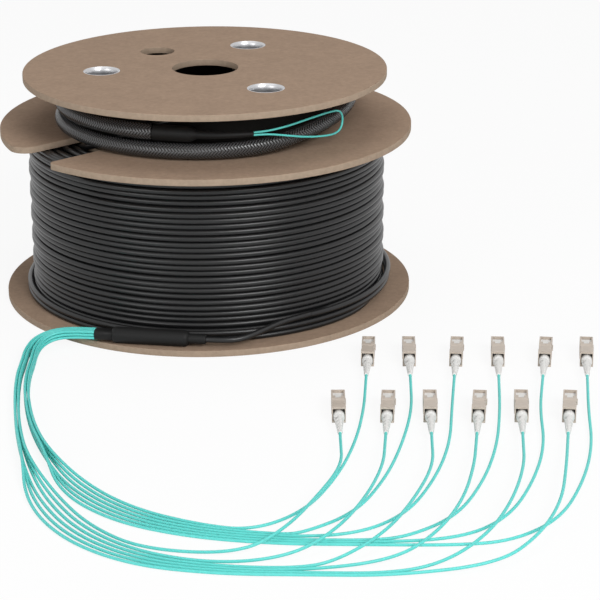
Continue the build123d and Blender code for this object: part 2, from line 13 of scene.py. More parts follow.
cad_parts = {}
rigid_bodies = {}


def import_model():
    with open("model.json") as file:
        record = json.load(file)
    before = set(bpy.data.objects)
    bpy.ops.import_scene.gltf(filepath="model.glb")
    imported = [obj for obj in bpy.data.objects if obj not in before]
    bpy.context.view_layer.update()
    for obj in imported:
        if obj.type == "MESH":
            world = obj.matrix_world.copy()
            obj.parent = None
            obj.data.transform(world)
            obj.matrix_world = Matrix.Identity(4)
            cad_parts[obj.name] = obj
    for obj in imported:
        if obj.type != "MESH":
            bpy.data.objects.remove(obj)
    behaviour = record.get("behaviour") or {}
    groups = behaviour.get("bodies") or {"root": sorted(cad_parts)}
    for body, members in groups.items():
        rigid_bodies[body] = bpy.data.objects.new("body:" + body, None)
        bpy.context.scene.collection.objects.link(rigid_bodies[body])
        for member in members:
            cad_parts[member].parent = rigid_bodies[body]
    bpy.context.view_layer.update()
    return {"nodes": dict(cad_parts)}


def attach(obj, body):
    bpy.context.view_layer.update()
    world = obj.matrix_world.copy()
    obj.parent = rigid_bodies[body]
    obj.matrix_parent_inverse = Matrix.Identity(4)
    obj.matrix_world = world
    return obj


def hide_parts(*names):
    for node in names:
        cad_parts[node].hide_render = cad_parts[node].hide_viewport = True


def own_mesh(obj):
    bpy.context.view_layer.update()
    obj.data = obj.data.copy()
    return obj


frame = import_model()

bl_info = {
    "name": "Fibre Trunk Cable",
    "version": (1, 0, 0),
    "blender": (4, 5, 0),
    "location": "View3D > Sidebar > Trunk Cable",
    "description": "Builds the drum, the winding, the fanout, its legs and their connectors",
    "category": "Add Mesh",
}

MM = 0.001

# Sizes are in metres and degrees; where a comment says so, in millimetres

# Drum
FLANGE_RADIUS = 0.125
TOP_FLANGE_RADIUS = 0.110
BOARD = 0.0039
BOARD_EASE = 0.00025
MIDDLE_Z = 0.1024
TOP_Z = 0.1354
HEIGHT = 0.1393
BORE_RADIUS = 0.020
DRIVE_HOLE = (0.0524, 124.25, 0.0105)
TIE_PITCH_RADIUS = 0.0625
TIE_ANGLES = (-55.75, 64.25, 184.25)
TIE_RADIUS = 0.010
TIE_INNER = 0.0093
TIE_MOUTH = 0.0103
TIE_LIP_RADIUS = 0.0112
TIE_LIP_LAP = 0.0001
TIE_LIP_DEPTHS = (0.0009, 0.0011)
SLOT_REAR_LINE = ((-0.1154, -0.0639), (-0.0736, -0.0303))
SLOT_FRONT_LINE = ((-0.0951, -0.0892), (-0.0533, -0.0555))

# Trunk cable; heights at their angles, tuck and straight run in millimetres
CABLE_RADIUS = 0.00175
TURNS = 28
TURN_RADIUS = 0.10725
LAYER_STEP = 0.00305
INNERMOST_RADIUS = 0.0815
CROSSING_SHARE = 0.10
OUTER_TURN_RADIUS = 0.1109
OUTER_TURN_HEIGHTS = ((-58, 13.55), (-30, 12.75), (90, 12.65), (170, 9.2), (320, 9.15),
                      (450, 9.1), (530, 5.75), (672, 5.7), (694, 5.7))
TUCK_START = 668
TUCK_SPAN = 26
TUCK_DEPTH = 3.6
BULGE_ANGLE = 8
BULGE_SPREAD = 26.0
TAIL_STRAIGHT = 10.5
SLOT_ARC = (-178, -108)
CORD_STEPS = 14

# Fanout
FANOUT_Z = 0.0087
FANOUT_RADIUS = 0.0048
FANOUT_LENGTH = 0.046
FANOUT_NECK = 0.0097
FANOUT_HEADING = 168.2
FANOUT_SHOULDER = 0.0030
LEG_NECK_HALF = (0.00305, 0.00395)
LEG_NECK_SINK = 0.0016
LEG_NECK_END = (-0.0666, -0.1058)
CABLE_NECK_PROFILE = ((0.0029, -0.002), (0.0029, 0.0088), (0.0027, 0.0094),
                      (0.0024, FANOUT_NECK), (0, FANOUT_NECK))

# Upper chamber; places and runs along the sleeve in millimetres
SLEEVE_RADIUS = 0.0049
SLEEVE_PITCH_RADIUS = 87.0
SLEEVE_START_ANGLE = 50.0
SLEEVE_END_ANGLE = 598.4
SLEEVE_STEP = 27.85
SLEEVE_CLIMB = (290.0, 340.0)
SLEEVE_LOW_Z = 111.644
SLEEVE_HIGH_Z = 122.182
SLEEVE_END_RUN = 17.0
SLEEVE_END_HEADING = -17.0
PULL_BOOT_LENGTH = 26.0
PULL_BOOT_MOUTH = 0.0046
PULL_NECK_LENGTH = 33.0
PULL_NECK_TURN = 33.0
PULL_PROFILE = ((0, 0), (0.01, PULL_BOOT_MOUTH / MM), (0.5, 4.75), (22.0, 4.6), (24.5, 3.6),
                (26.0, 2.6), (58.0, 1.5), (59.0, 1.2))
DRAWN_IN_RUN = 8.0
LOOP_STRAIGHT = 8.0
LOOP_RISE = 0.75

# Legs and connectors; all but the leg's radius in millimetres
LEG_RADIUS = 0.0008
PLUG_AXIS_Z = 4.5
CABLE_IN_BOOT = 20.0
SPRING_START = 36.4
SPRING_END = 42.36
SPRING_RADIUS = 1.85
SPRING_WIRE = 0.24
LEG_GRID = 1.8
BOOT_PROFILE = ((0, 1.1), (0.3, 1.25), (20.0, 2.6), (20.25, 3.0), (24.6, 3.0))
BOOT_SLOTS = (17.8, 15.9, 0.82)
BOOT_SLOT_ARC = 150
BOOT_FLOORS = ((9.0, 0.6), (11.0, 1.05))
BOOT_WALL = 0.04
BOOT_ROWS = (0.6, 19.4, 6)

# Camera, and lamps as name, place, target, size and share of the key's power
CAMERA_PLACE = (0, -1.2881, 0.4604)
CAMERA_PITCH, CAMERA_YAW, CAMERA_ROLL = -20.122, 2.524, -0.278
CAMERA_LENS = 130.69
LAMPS = [
    ("key", (0.75, -1.45, 1.1), (0, -0.1, 0.05), (0.8, 0.8), 1),
    ("fill", (-1.2, -1.4, 0.6), (0, -0.1, 0.05), (1.0, 0.8), 0.36),
    ("top", (0, 0.3, 1.8), (0, 0, 0), (1.4, 1.4), 0.36),
]

# Routes in millimetres, the same points as in the solids. LEAD_ROUTE holds angle, radius and
# height, a station the place of a band's middle, its lay and its spacing, and a plug the place
# and heading of a connector's cable end.
TAIL_ROUTE = [
    (18.0, -119.4, 8.6),
    (29.0, -112.4, 10.4),
    (41.0, -104.6, 13.0),
    (53.0, -97.8, 13.6),
    (63.5, -90.4, 13.5),
    (71.0, -81.8, 13.4),
]
LOOP_ROUTE = [
    (46.4, -82.2, 124.4),
    (57.0, -75.3, 126.0),
    (66.0, -67.6, 126.8),
    (73.0, -59.9, 126.7),
    (77.8, -53.5, 125.6),
    (80.1, -50.0, 121.8),
    (80.1, -50.0, 116.4),
    (77.8, -53.5, 112.6),
    (73.1, -59.8, 112.5),
    (66.0, -67.6, 113.8),
    (56.4, -75.7, 116.0),
    (46.2, -82.3, 118.9),
]
LEAD_ROUTE = [
    (-172, 83.0, 96.6),
    (-158, 82.9, 99.4),
    (-144, 82.3, 104.8),
    (-130, 78.8, 112.6),
    (-116, 79.0, 122.0),
    (-103, 81.0, 128.6),
    (-88, 85.0, 129.8),
    (-66, 88.0, 129.9),
    (-44, 88.0, 129.8),
    (-24, 84.0, 129.6),
    (-8, 79.4, 126.4),
    (6, 78.9, 119.6),
    (20, 80.4, 113.2),
    (34, 84.8, 111.7),
    (48, 88.6, 111.7),
    (57, 88.4, 111.7),
]
APPROACH = [
    (-77.4, -103.55, 6.9, "stack", 1.8),
    (-89.8, -102.6, 5.9, "stack", 1.88),
    (-99.0, -108.6, 3.9, "stack", 1.9),
    (-103.0, -120.0, 1.9, "stack", 1.85),
]
FRONT_STATIONS = [
    (-106.2, -136.0, 0.9, "stack", 1.8),
    (-107.4, -156.0, 0.9, "stack", 1.8),
    (-106.4, -186.0, 0.9, "stack", 1.8),
    (-102.6, -228.0, 0.9, "stack", 1.8),
    (-95.8, -269.0, 0.9, "stack", 2.3),
    (-85.0, -311.0, 0.9, "fan", 3.2),
    (-66.0, -350.0, 0.9, "fan", 3.6),
    (-37.0, -377.0, 0.9, "fan", 3.3),
    (1.0, -390.0, 0.9, "fan", 2.5),
    (41.0, -394.0, 0.9, "fan", 2.1),
    (82.0, -397.0, 0.9, "fan", 2.1),
]
REAR_STATIONS = [
    (-101.2, -136.0, 0.9, "stack", 1.8),
    (-102.4, -156.0, 0.9, "stack", 1.8),
    (-101.2, -185.0, 0.9, "stack", 1.8),
    (-95.4, -225.0, 0.9, "stack", 1.8),
    (-85.0, -263.0, 0.9, "stack", 2.3),
    (-70.0, -300.0, 0.9, "fan", 3.1),
    (-44.0, -332.0, 0.9, "fan", 3.3),
    (-10.0, -351.0, 0.9, "fan", 2.8),
    (30.0, -361.0, 0.9, "fan", 2.5),
    (72.0, -365.0, 0.9, "fan", 2.1),
    (114.0, -368.0, 0.9, "fan", 2.1),
]
FRONT_TURN = [(-55.0, -137.0, 2.6), (-33.0, -118.0, 6.6), (-17.0, -84.0, 6.8)]
REAR_TURN = [(-68.0, -189.0, 0.9), (-42.0, -168.0, 0.9), (-24.0, -128.0, 0.9), (-12.0, -86.0, 1.1)]
FRONT_STRAIGHT = [(44.0, 6.2), (10.0, 4.6)]
REAR_STRAIGHT = [(44.0, 2.6), (10.0, 4.5)]
MIN_BAND_RUN = 12.0
BAND_SPACING = 2.0
APPROACH_SPREAD = (1.0, 1.05, 1.15, 1.3)
FRONT_PLUGS = [
    (66.4, -248.0, 2.2),
    (90.2, -249.5, 6.4),
    (114.0, -250.5, 4.6),
    (137.6, -252.0, 8.8),
    (161.4, -253.0, 6.9),
    (185.0, -254.5, 10.4),
]
REAR_PLUGS = [
    (86.0, -168.5, 5.9),
    (110.4, -170.0, 4.1),
    (134.9, -171.5, 8.2),
    (159.4, -173.0, 6.6),
    (183.9, -174.5, 10.6),
    (208.4, -176.0, 8.8),
]


# Geometry helpers
def add_object(name, data):
    """New object in the scene that holds the data."""
    obj = bpy.data.objects.new(name, data)
    bpy.context.scene.collection.objects.link(obj)
    return obj


def taken_mesh(obj):
    """Mesh that a curve's object comes to; the object is removed."""
    bpy.context.view_layer.update()
    depsgraph = bpy.context.evaluated_depsgraph_get()
    mesh = bpy.data.meshes.new_from_object(obj.evaluated_get(depsgraph))
    bpy.data.objects.remove(obj)
    return mesh


def mesh_points(mesh, kind=float):
    """Array of a mesh's vertices, a row for each."""
    flat = np.empty(len(mesh.vertices) * 3, kind)
    mesh.vertices.foreach_get("co", flat)
    return flat.reshape(-1, 3)


def polar(angle, radius, z):
    """Point at an angle in degrees round the drum's axis."""
    return (radius * cos(radians(angle)), radius * sin(radians(angle)), z)


def level(angle):
    """Unit vector in the ground plane, angle in degrees from +X."""
    return np.array([cos(radians(angle)), sin(radians(angle)), 0.0])


def new_mesh(name, verts, faces, uv=None, period=None):
    """Mesh object from arrays of vertices and quads; uv holds a pair for each vertex.

    The second number of a pair may start again once round: period is how far it counts.
    """
    verts = np.asarray(verts, dtype=np.float32).reshape(-1, 3)
    faces = np.asarray(faces, dtype=np.int32).reshape(-1, 4)
    mesh = bpy.data.meshes.new(name)
    mesh.vertices.add(len(verts))
    mesh.vertices.foreach_set("co", verts.ravel())
    mesh.loops.add(faces.size)
    mesh.loops.foreach_set("vertex_index", faces.ravel())
    mesh.polygons.add(len(faces))
    mesh.polygons.foreach_set("loop_start", np.arange(0, faces.size, 4, dtype=np.int32))
    mesh.polygons.foreach_set("use_smooth", np.full(len(faces), True))
    if uv is not None:
        layer = mesh.uv_layers.new(name="surface")
        corners = np.asarray(uv, np.float32)[faces]
        if period is not None:
            counted = corners[:, :, 1]
            behind = counted.max(axis=1, keepdims=True) - counted > period / 2
            corners[:, :, 1] = counted + period * behind
        layer.data.foreach_set("uv", corners.ravel())
    mesh.update(calc_edges=True)
    mesh.validate()
    return add_object(name, mesh)


def grid_faces(rows, columns, wrap, start=0):
    """Quads between neighbouring rows of points; wrap joins the last column to the first."""
    row = np.arange(rows - 1)[:, None]
    across = columns if wrap else columns - 1
    col = np.arange(across)[None, :]
    after = (col + 1) % columns
    a = row * columns + col
    b = row * columns + after
    c = (row + 1) * columns + after
    d = (row + 1) * columns + col
    return np.stack([a, b, c, d], axis=-1).reshape(-1, 4) + start


def join_grids(name, grids, wrap, uv=None, period=None):
    """One object from several grids of the same kind, each an array rows x columns x 3."""
    verts, faces, start = [], [], 0
    for grid in grids:
        rows, columns = grid.shape[:2]
        verts.append(grid.reshape(-1, 3))
        faces.append(grid_faces(rows, columns, wrap, start))
        start += rows * columns
    pairs = None if uv is None else np.concatenate([u.reshape(-1, 2) for u in uv])
    return new_mesh(name, np.concatenate(verts), np.concatenate(faces), pairs, period=period)


def lathe(profile, place, segments):
    """Grid of points: each profile pair (radius, distance along the axis) swept once round."""
    turn = np.linspace(0, tau, segments, endpoint=False)
    radius, along = np.array(profile, float).T[:, :, None] + 0 * turn
    local = np.stack([radius * np.cos(turn), radius * np.sin(turn), along], axis=-1)
    return local @ np.array(place[0]).T + np.array(place[1])


def axes_along(direction):
    """Rotation whose third column is the direction, and whose first is the nearest to upwards."""
    z = np.asarray(direction, float) / np.linalg.norm(direction)
    x = np.array([0.0, 0.0, 1.0]) - z * z[2]
    x = x / np.linalg.norm(x)
    return np.stack([x, np.cross(z, x), z], axis=1)


def spline_object(name, points, radius, resolution):
    """Open NURBS spline through the control points of a route, bevelled to a round cord.

    The thickness is the points' own radius times a bevel of one, which keeps the box tight.
    """
    curve = bpy.data.curves.new(name, "CURVE")
    curve.dimensions = "3D"
    curve.resolution_u = resolution
    curve.bevel_depth = 1.0 if radius else 0.0
    curve.bevel_resolution = 4
    curve.use_fill_caps = True
    spline = curve.splines.new("NURBS")
    spline.points.add(len(points) - 1)
    flat = np.column_stack([np.asarray(points, float), np.ones(len(points))])
    spline.points.foreach_set("co", flat.ravel())
    spline.points.foreach_set("radius", np.full(len(points), radius))
    spline.order_u = 3
    spline.use_endpoint_u = True
    return add_object(name, curve)


def centreline(points):
    """Points along the smooth route, read back from a spline without thickness."""
    guide = spline_object("route-guide", points, 0.0, 40)
    guide.data.use_fill_caps = False
    mesh = taken_mesh(guide)
    line = mesh_points(mesh)
    bpy.data.meshes.remove(mesh)
    return line


def line_length(line):
    """Sum of the distances between neighbouring points."""
    return float(np.linalg.norm(np.diff(line, axis=0), axis=1).sum())


def resample(line, count):
    """The same line as evenly spaced points, and the distance of each from the start."""
    steps = np.concatenate([[0], np.cumsum(np.linalg.norm(np.diff(line, axis=0), axis=1))])
    along = np.linspace(0, steps[-1], count)
    return np.stack([np.interp(along, steps, line[:, i]) for i in range(3)], axis=1), along


def frames(line):
    """Side and upward directions across a line at every point, kept level."""
    tangent = np.gradient(line, axis=0)
    tangent /= np.linalg.norm(tangent, axis=1)[:, None]
    side = np.cross(tangent, [0.0, 0.0, 1.0])
    side /= np.linalg.norm(side, axis=1)[:, None]
    return side, np.cross(side, tangent)


def tube(line, radius, sections, span=tau, start=0.0):
    """Grid round a line: point + radius (cos a x side + sin a x up), a running over the span.

    The radius is a number or an array rows x sections.
    """
    side, above = frames(line)
    closed = abs(span - tau) < 1e-6
    turn = start + np.linspace(0, span, sections, endpoint=not closed)
    turn = turn[None, :, None]
    ring = np.cos(turn) * side[:, None] + np.sin(turn) * above[:, None]
    size = np.broadcast_to(np.asarray(radius, float), (len(line), sections))
    return line[:, None] + ring * size[:, :, None]


# Routes
def fanout_start():
    """Legs' end of the fanout's axis, and the direction that the legs leave in, in mm."""
    return np.array([*LEG_NECK_END, FANOUT_Z]) * 1000, level(FANOUT_HEADING)


def tail_points():
    """Outer end of the trunk: straight out of the fanout's round neck, then up to the winding."""
    origin, out = fanout_start()
    start = origin - out * (2 * FANOUT_NECK + FANOUT_LENGTH) / MM
    points = [start, start - out * TAIL_STRAIGHT] + [np.array(p) for p in TAIL_ROUTE]
    return np.array(points) * MM


def sleeve_points():
    """Corners round the sleeve's coil, which climbs once, and a straight run at its end."""
    steps = round((SLEEVE_END_ANGLE - SLEEVE_START_ANGLE) / SLEEVE_STEP)
    step = (SLEEVE_END_ANGLE - SLEEVE_START_ANGLE) / steps
    corner = SLEEVE_PITCH_RADIUS / cos(radians(step / 2))
    points = []
    for i in range(steps + 1):
        angle = SLEEVE_START_ANGLE + step * i
        share = min(max((angle - SLEEVE_CLIMB[0]) / (SLEEVE_CLIMB[1] - SLEEVE_CLIMB[0]), 0), 1)
        z = SLEEVE_LOW_Z + (SLEEVE_HIGH_Z - SLEEVE_LOW_Z) * share
        points.append(np.array(polar(angle, corner, z)))
    points.append(points[-1] + level(SLEEVE_END_HEADING) * SLEEVE_END_RUN)
    return np.array(points) * MM


def pull_points():
    """Control points of the pulling end: straight through the boot, then bent along the neck."""
    start = sleeve_points()[-1] * 1000
    points = [start, start + level(SLEEVE_END_HEADING) * PULL_BOOT_LENGTH]
    heading = SLEEVE_END_HEADING
    for _ in range(3):
        points.append(points[-1] + level(heading + PULL_NECK_TURN / 6) * PULL_NECK_LENGTH / 3)
        heading += PULL_NECK_TURN / 3
    return np.array(points) * MM, heading


def loop_points():
    """The loop's route: out of the neck's upper half, round, and back into its lower half."""
    points, heading = pull_points()
    end = points[-1] * 1000
    rise = np.array([0, 0, LOOP_RISE])
    ahead = level(heading) * LOOP_STRAIGHT
    route = [end + rise, end + rise + ahead] + [np.array(p) for p in LOOP_ROUTE]
    return np.array(route + [end - rise + ahead, end - rise]) * MM


def lane_offset(index, kind, spacing):
    """Where leg 0 to 5 of a group lies: sideways from the centre (inner side first), and lift."""
    if kind == "stack":
        side = 0.5 if index < 3 else -0.5
        row = (2, 1, 0, 0, 1, 2)[index]
        return side * spacing, row * spacing
    return (2.5 - index) * spacing, 0.0


def station_points(stations, index, shift):
    """A leg's points: each station's middle moved across the band to the leg's own lane."""
    points = []
    for number, (x, y, z, kind, spacing) in enumerate(stations):
        before = stations[max(number - 1, 0)]
        after = stations[min(number + 1, len(stations) - 1)]
        heading = atan2(after[1] - before[1], after[0] - before[0])
        if number == 0:
            heading = radians(FANOUT_HEADING)
        side, lift = lane_offset(index, kind, spacing)
        side += shift[number] if number < len(shift) else 0
        points.append((x - side * sin(heading), y + side * cos(heading), z + lift))
    return points


def leg_points(index, plug, stations, turn, straight, inner_group):
    """A leg's whole route from the fanout's neck into its boot, in metres."""
    shift = 1 if inner_group else -1
    origin, _ = fanout_start()
    across_dir = np.array([-sin(radians(FANOUT_HEADING)), cos(radians(FANOUT_HEADING)), 0])
    side, lift = lane_offset(index, "stack", LEG_GRID)
    start = origin + across_dir * (side + shift * LEG_GRID) + np.array([0, 0, lift - LEG_GRID])
    x, y, heading = plug
    first_x = x + turn[0][0]
    chosen = APPROACH + stations
    shifts = [shift * LEG_GRID * grow for grow in APPROACH_SPREAD]
    lanes = station_points(chosen, index, shifts)
    kept = [p for p, s in zip(lanes, chosen) if s[0] < first_x - MIN_BAND_RUN]
    out = (sin(radians(heading)), cos(radians(heading)))
    lane = (2.5 - index) * BAND_SPACING
    bend = [(x + dx, y + dy + lane * (1 - n / len(turn)), z) for n, (dx, dy, z) in enumerate(turn)]
    last = [(x - out[0] * back, y - out[1] * back, z) for back, z in straight]
    end = (x + out[0] * CABLE_IN_BOOT, y + out[1] * CABLE_IN_BOOT, PLUG_AXIS_Z)
    return np.array([tuple(start)] + kept + bend + last + [end]) * MM


def plug_place(plug):
    """Rotation and origin of a connector: Z to the tip, X up, origin at the boot's cable end."""
    x, y, heading = plug
    out = (sin(radians(heading)), cos(radians(heading)), 0)
    return axes_along(out), np.array([x, y, PLUG_AXIS_Z]) * MM


# Node groups and materials
# Plain finishes: property with the colour, roughness, and what else is set
FINISHES = {
    "cable jacket": ("cable", 0.33, {"grain": 0.15, "scale": 500, "specular": 0.42}),
    "black moulding": ("moulding", 0.55, {"grain": 0.12, "specular": 0.2}),
    "aqua jacket": ("aqua", 0.45, {"grain": 0.04}),
    "beige moulding": ("grip", 0.45, {"grain": 0.02}),
    "white moulding": ("boot", 0.42, {"grain": 0.02}),
    "white ceramic": ("ferrule", 0.15, {"grain": 0.01, "coat": 0.4}),
    "plated steel": ("steel", 0.36, {"grain": 0.015, "metallic": 1.0}),
    "wound card": ("card", 0.8, {"grain": 0.2}),
    # The upper barrel's near-black colour is painted shade for the shadow of the upper chamber; its
    # card is brown like the wound card below
    "dark card": ("dark_card", 0.8, {"grain": 0.2, "specular": 0.2}),
}


def math_node(tree, operation, a, b=None):
    """Output of a new Math node on numbers or sockets."""
    node = tree.nodes.new("ShaderNodeMath")
    node.operation = operation
    for index, value in enumerate((a, b)):
        if value is None:
            continue
        if isinstance(value, (int, float)):
            node.inputs[index].default_value = value
        else:
            tree.links.new(value, node.inputs[index])
    return node.outputs[0]


def colour_mix(tree, factor, first, second):
    """Colour that runs from the first to the second with the factor."""
    mix = tree.nodes.new("ShaderNodeMix")
    mix.data_type = "RGBA"
    mix.inputs["A"].default_value = (*first, 1)
    mix.inputs["B"].default_value = (*second, 1)
    tree.links.new(factor, mix.inputs["Factor"])
    return mix.outputs["Result"]


def new_group(name, result):
    """Empty node group with a vector going in and one value coming out."""
    tree = bpy.data.node_groups.new(name, "ShaderNodeTree")
    tree.interface.new_socket("Vector", in_out="INPUT", socket_type="NodeSocketVector")
    tree.interface.new_socket(result, in_out="OUTPUT", socket_type="NodeSocketFloat")
    inlet = tree.nodes.new("NodeGroupInput")
    outlet = tree.nodes.new("NodeGroupOutput")
    return tree, inlet.outputs[0], outlet.inputs[0]


def speckle_group():
    """Fine pale and dark fibres of pressed board: a value near 1 to multiply a colour by.

    It is 1 plus, for a fine and a broad noise, (noise - 0.5) x its strength.
    """
    if "Board Speckle" in bpy.data.node_groups:
        return bpy.data.node_groups["Board Speckle"]
    tree, vector, result = new_group("Board Speckle", "Value")
    parts = []
    for scale, detail, strength in ((420, 3, 0.36), (90, 4, 0.22)):
        noise = tree.nodes.new("ShaderNodeTexNoise")
        noise.inputs["Scale"].default_value = scale
        noise.inputs["Detail"].default_value = detail
        tree.links.new(vector, noise.inputs["Vector"])
        middle = math_node(tree, "SUBTRACT", noise.outputs[0], 0.5)
        parts.append(math_node(tree, "MULTIPLY", middle, strength))
    tree.links.new(math_node(tree, "ADD", math_node(tree, "ADD", *parts), 1.0), result)
    return tree


def new_material(name):
    """New material, its node tree and its main shader."""
    material = bpy.data.materials.new(name)
    material.use_nodes = True
    tree = material.node_tree
    return material, tree, tree.nodes["Principled BSDF"]


def finish(name):
    """Plain finish of the table: its colour x (1 - grain) to x (1 + grain), by an even noise."""
    if name in bpy.data.materials:
        return bpy.data.materials[name]
    key, roughness, extra = FINISHES[name]
    colour, grain = getattr(bpy.context.scene.trunk_finish, key), extra["grain"]
    material, tree, shader = new_material(name)
    shader.inputs["Metallic"].default_value = extra.get("metallic", 0.0)
    shader.inputs["Roughness"].default_value = roughness
    shader.inputs["Coat Weight"].default_value = extra.get("coat", 0.0)
    shader.inputs["Coat Roughness"].default_value = 0.25
    shader.inputs["Specular IOR Level"].default_value = extra.get("specular", 0.5)
    coords = tree.nodes.new("ShaderNodeTexCoord")
    noise = tree.nodes.new("ShaderNodeTexNoise")
    noise.inputs["Scale"].default_value = extra.get("scale", 900)
    tree.links.new(coords.outputs["Object"], noise.inputs["Vector"])
    dark, light = [[min(c * share, 1) for c in colour] for share in (1 - grain, 1 + grain)]
    base = colour_mix(tree, noise.outputs[0], dark, light)
    tree.links.new(base, shader.inputs["Base Color"])
    return material


def board_material():
    """Pressed board: a browner face and a paler cut rim, both with speckles."""
    if "pressed board" in bpy.data.materials:
        return bpy.data.materials["pressed board"]
    material, tree, shader = new_material("pressed board")
    coords = tree.nodes.new("ShaderNodeTexCoord")
    speckle = tree.nodes.new("ShaderNodeGroup")
    speckle.node_tree = speckle_group()
    tree.links.new(coords.outputs["Object"], speckle.inputs[0])
    geometry = tree.nodes.new("ShaderNodeNewGeometry")
    split = tree.nodes.new("ShaderNodeSeparateXYZ")
    tree.links.new(geometry.outputs["Normal"], split.inputs[0])
    flat = math_node(tree, "GREATER_THAN", math_node(tree, "ABSOLUTE", split.outputs["Z"]), 0.6)
    colours = bpy.context.scene.trunk_finish
    shade = tree.nodes.new("ShaderNodeVectorMath")
    shade.operation = "SCALE"
    plain = colour_mix(tree, flat, colours.board_rim, colours.board_face)
    tree.links.new(plain, shade.inputs[0])
    tree.links.new(speckle.outputs[0], shade.inputs["Scale"])
    tree.links.new(shade.outputs[0], shader.inputs["Base Color"])
    shader.inputs["Roughness"].default_value = 0.85
    shader.inputs["Specular IOR Level"].default_value = 0.1
    return material


def braid_group():
    """Two sets of strands in opposite spirals, each over two and under two.

    With a and b the two diagonal coordinates, the strand on top is of the first set where
    (floor a + floor b) mod 4 is below 2; the height is that strand's round profile.
    """
    if "Braid Weave" in bpy.data.node_groups:
        return bpy.data.node_groups["Braid Weave"]
    tree, vector, result = new_group("Braid Weave", "Height")
    split = tree.nodes.new("ShaderNodeSeparateXYZ")
    tree.links.new(vector, split.inputs[0])
    a = math_node(tree, "ADD", split.outputs["Y"], split.outputs["X"])
    b = math_node(tree, "SUBTRACT", split.outputs["Y"], split.outputs["X"])
    cells = math_node(tree, "ADD", math_node(tree, "FLOOR", a), math_node(tree, "FLOOR", b))
    over = math_node(tree, "LESS_THAN", math_node(tree, "FLOORED_MODULO", cells, 4.0), 1.5)
    under = math_node(tree, "SUBTRACT", 1.0, over)
    first = math_node(tree, "MULTIPLY", math_node(tree, "FLOORED_MODULO", a, 1.0), over)
    second = math_node(tree, "MULTIPLY", math_node(tree, "FLOORED_MODULO", b, 1.0), under)
    across = math_node(tree, "SUBTRACT", math_node(tree, "ADD", first, second), 0.5)
    square = math_node(tree, "MULTIPLY", math_node(tree, "MULTIPLY", across, across), 4.0)
    height = math_node(tree, "SQRT", math_node(tree, "SUBTRACT", 1.02, square))
    tree.links.new(height, result)
    return tree


def braid_material():
    """Woven black monofilament, a little glossy where the strands stand up. Its colour carries a
    painted highlight on the strands' tops and painted shade in the valleys between them.
    """
    if "braid" in bpy.data.materials:
        return bpy.data.materials["braid"]
    material, tree, shader = new_material("braid")
    coords = tree.nodes.new("ShaderNodeUVMap")
    coords.uv_map = "surface"
    weave = tree.nodes.new("ShaderNodeGroup")
    weave.node_tree = braid_group()
    tree.links.new(coords.outputs[0], weave.inputs[0])
    bump = tree.nodes.new("ShaderNodeBump")
    bump.inputs["Strength"].default_value = 1.0
    bump.inputs["Distance"].default_value = 0.0003
    tree.links.new(weave.outputs[0], bump.inputs["Height"])
    tree.links.new(bump.outputs[0], shader.inputs["Normal"])
    # Painted highlight on the strands' tops and painted shade in the valleys, mixed by the height
    # to the fifth power
    painted_light_mask = math_node(tree, "POWER", weave.outputs[0], 5.0)
    colours = bpy.context.scene.trunk_finish
    base = colour_mix(tree, painted_light_mask, colours.braid_painted_shade, colours.braid_painted_highlight)
    tree.links.new(base, shader.inputs["Base Color"])
    shader.inputs["Roughness"].default_value = 0.26
    shader.inputs["Specular IOR Level"].default_value = 0.6
    return material


def paint(obj, material):
    """Makes a material the only one of an object."""
    obj.data.materials.clear()
    obj.data.materials.append(material)
    return obj


def dress(obj, material, slot, *nodes):
    """Attaches a piece to the drum, gives it its material, and hides the solids that it stands for;
    the slot is not used.
    """
    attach(obj, "drum")
    if nodes:
        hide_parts(*nodes)
    paint(obj, material)


def make_cord(obj, route, radius, **facts):
    """Measures the length of a cord along its route."""
    length = line_length(centreline(route))


def ease_edges(obj, width, segments, angle, harden=False):
    """Rounds an object's edges that are sharper than the angle."""
    ease = obj.modifiers.new("ease edges", "BEVEL")
    ease.width = width
    ease.segments = segments
    ease.limit_method = "ANGLE"
    ease.angle_limit = radians(angle)
    ease.harden_normals = harden


# Pieces
def disc_curve(name, radius, z, outline):
    """Board as a filled flat curve with its holes, as thick as the board, edges just eased.

    Its rim is a circle of the radius, or else the outline.
    """
    curve = bpy.data.curves.new(name, "CURVE")
    curve.dimensions = "2D"
    curve.fill_mode = "BOTH"
    curve.extrude = BOARD / 2 - BOARD_EASE
    curve.bevel_depth = BOARD_EASE
    curve.bevel_resolution = 1
    curve.offset = -BOARD_EASE

    def ring(points):
        """Closed line of the curve."""
        spline = curve.splines.new("POLY")
        spline.points.add(len(points) - 1)
        flat = np.zeros((len(points), 4))
        flat[:, :2] = points
        flat[:, 3] = 1
        spline.points.foreach_set("co", flat.ravel())
        spline.use_cyclic_u = True

    def circle(x, y, size, count):
        """Points (x + size cos t, y + size sin t)."""
        turn = np.linspace(0, tau, count, endpoint=False)
        return np.column_stack([x + size * np.cos(turn), y + size * np.sin(turn)])

    ring(circle(0, 0, radius, 360) if outline is None else outline)
    ring(circle(0, 0, BORE_RADIUS, 120))
    pitch, angle, size = DRIVE_HOLE
    ring(circle(*polar(angle, pitch, 0)[:2], size, 72))
    for angle in TIE_ANGLES:
        ring(circle(*polar(angle, TIE_PITCH_RADIUS, 0)[:2], TIE_LIP_RADIUS - TIE_LIP_LAP, 72))
    mesh = taken_mesh(add_object(name, curve))
    points = mesh_points(mesh, np.float32)
    points[:, 2] += z + BOARD / 2
    mesh.vertices.foreach_set("co", points.ravel())
    mesh.update()
    return add_object(name, mesh)


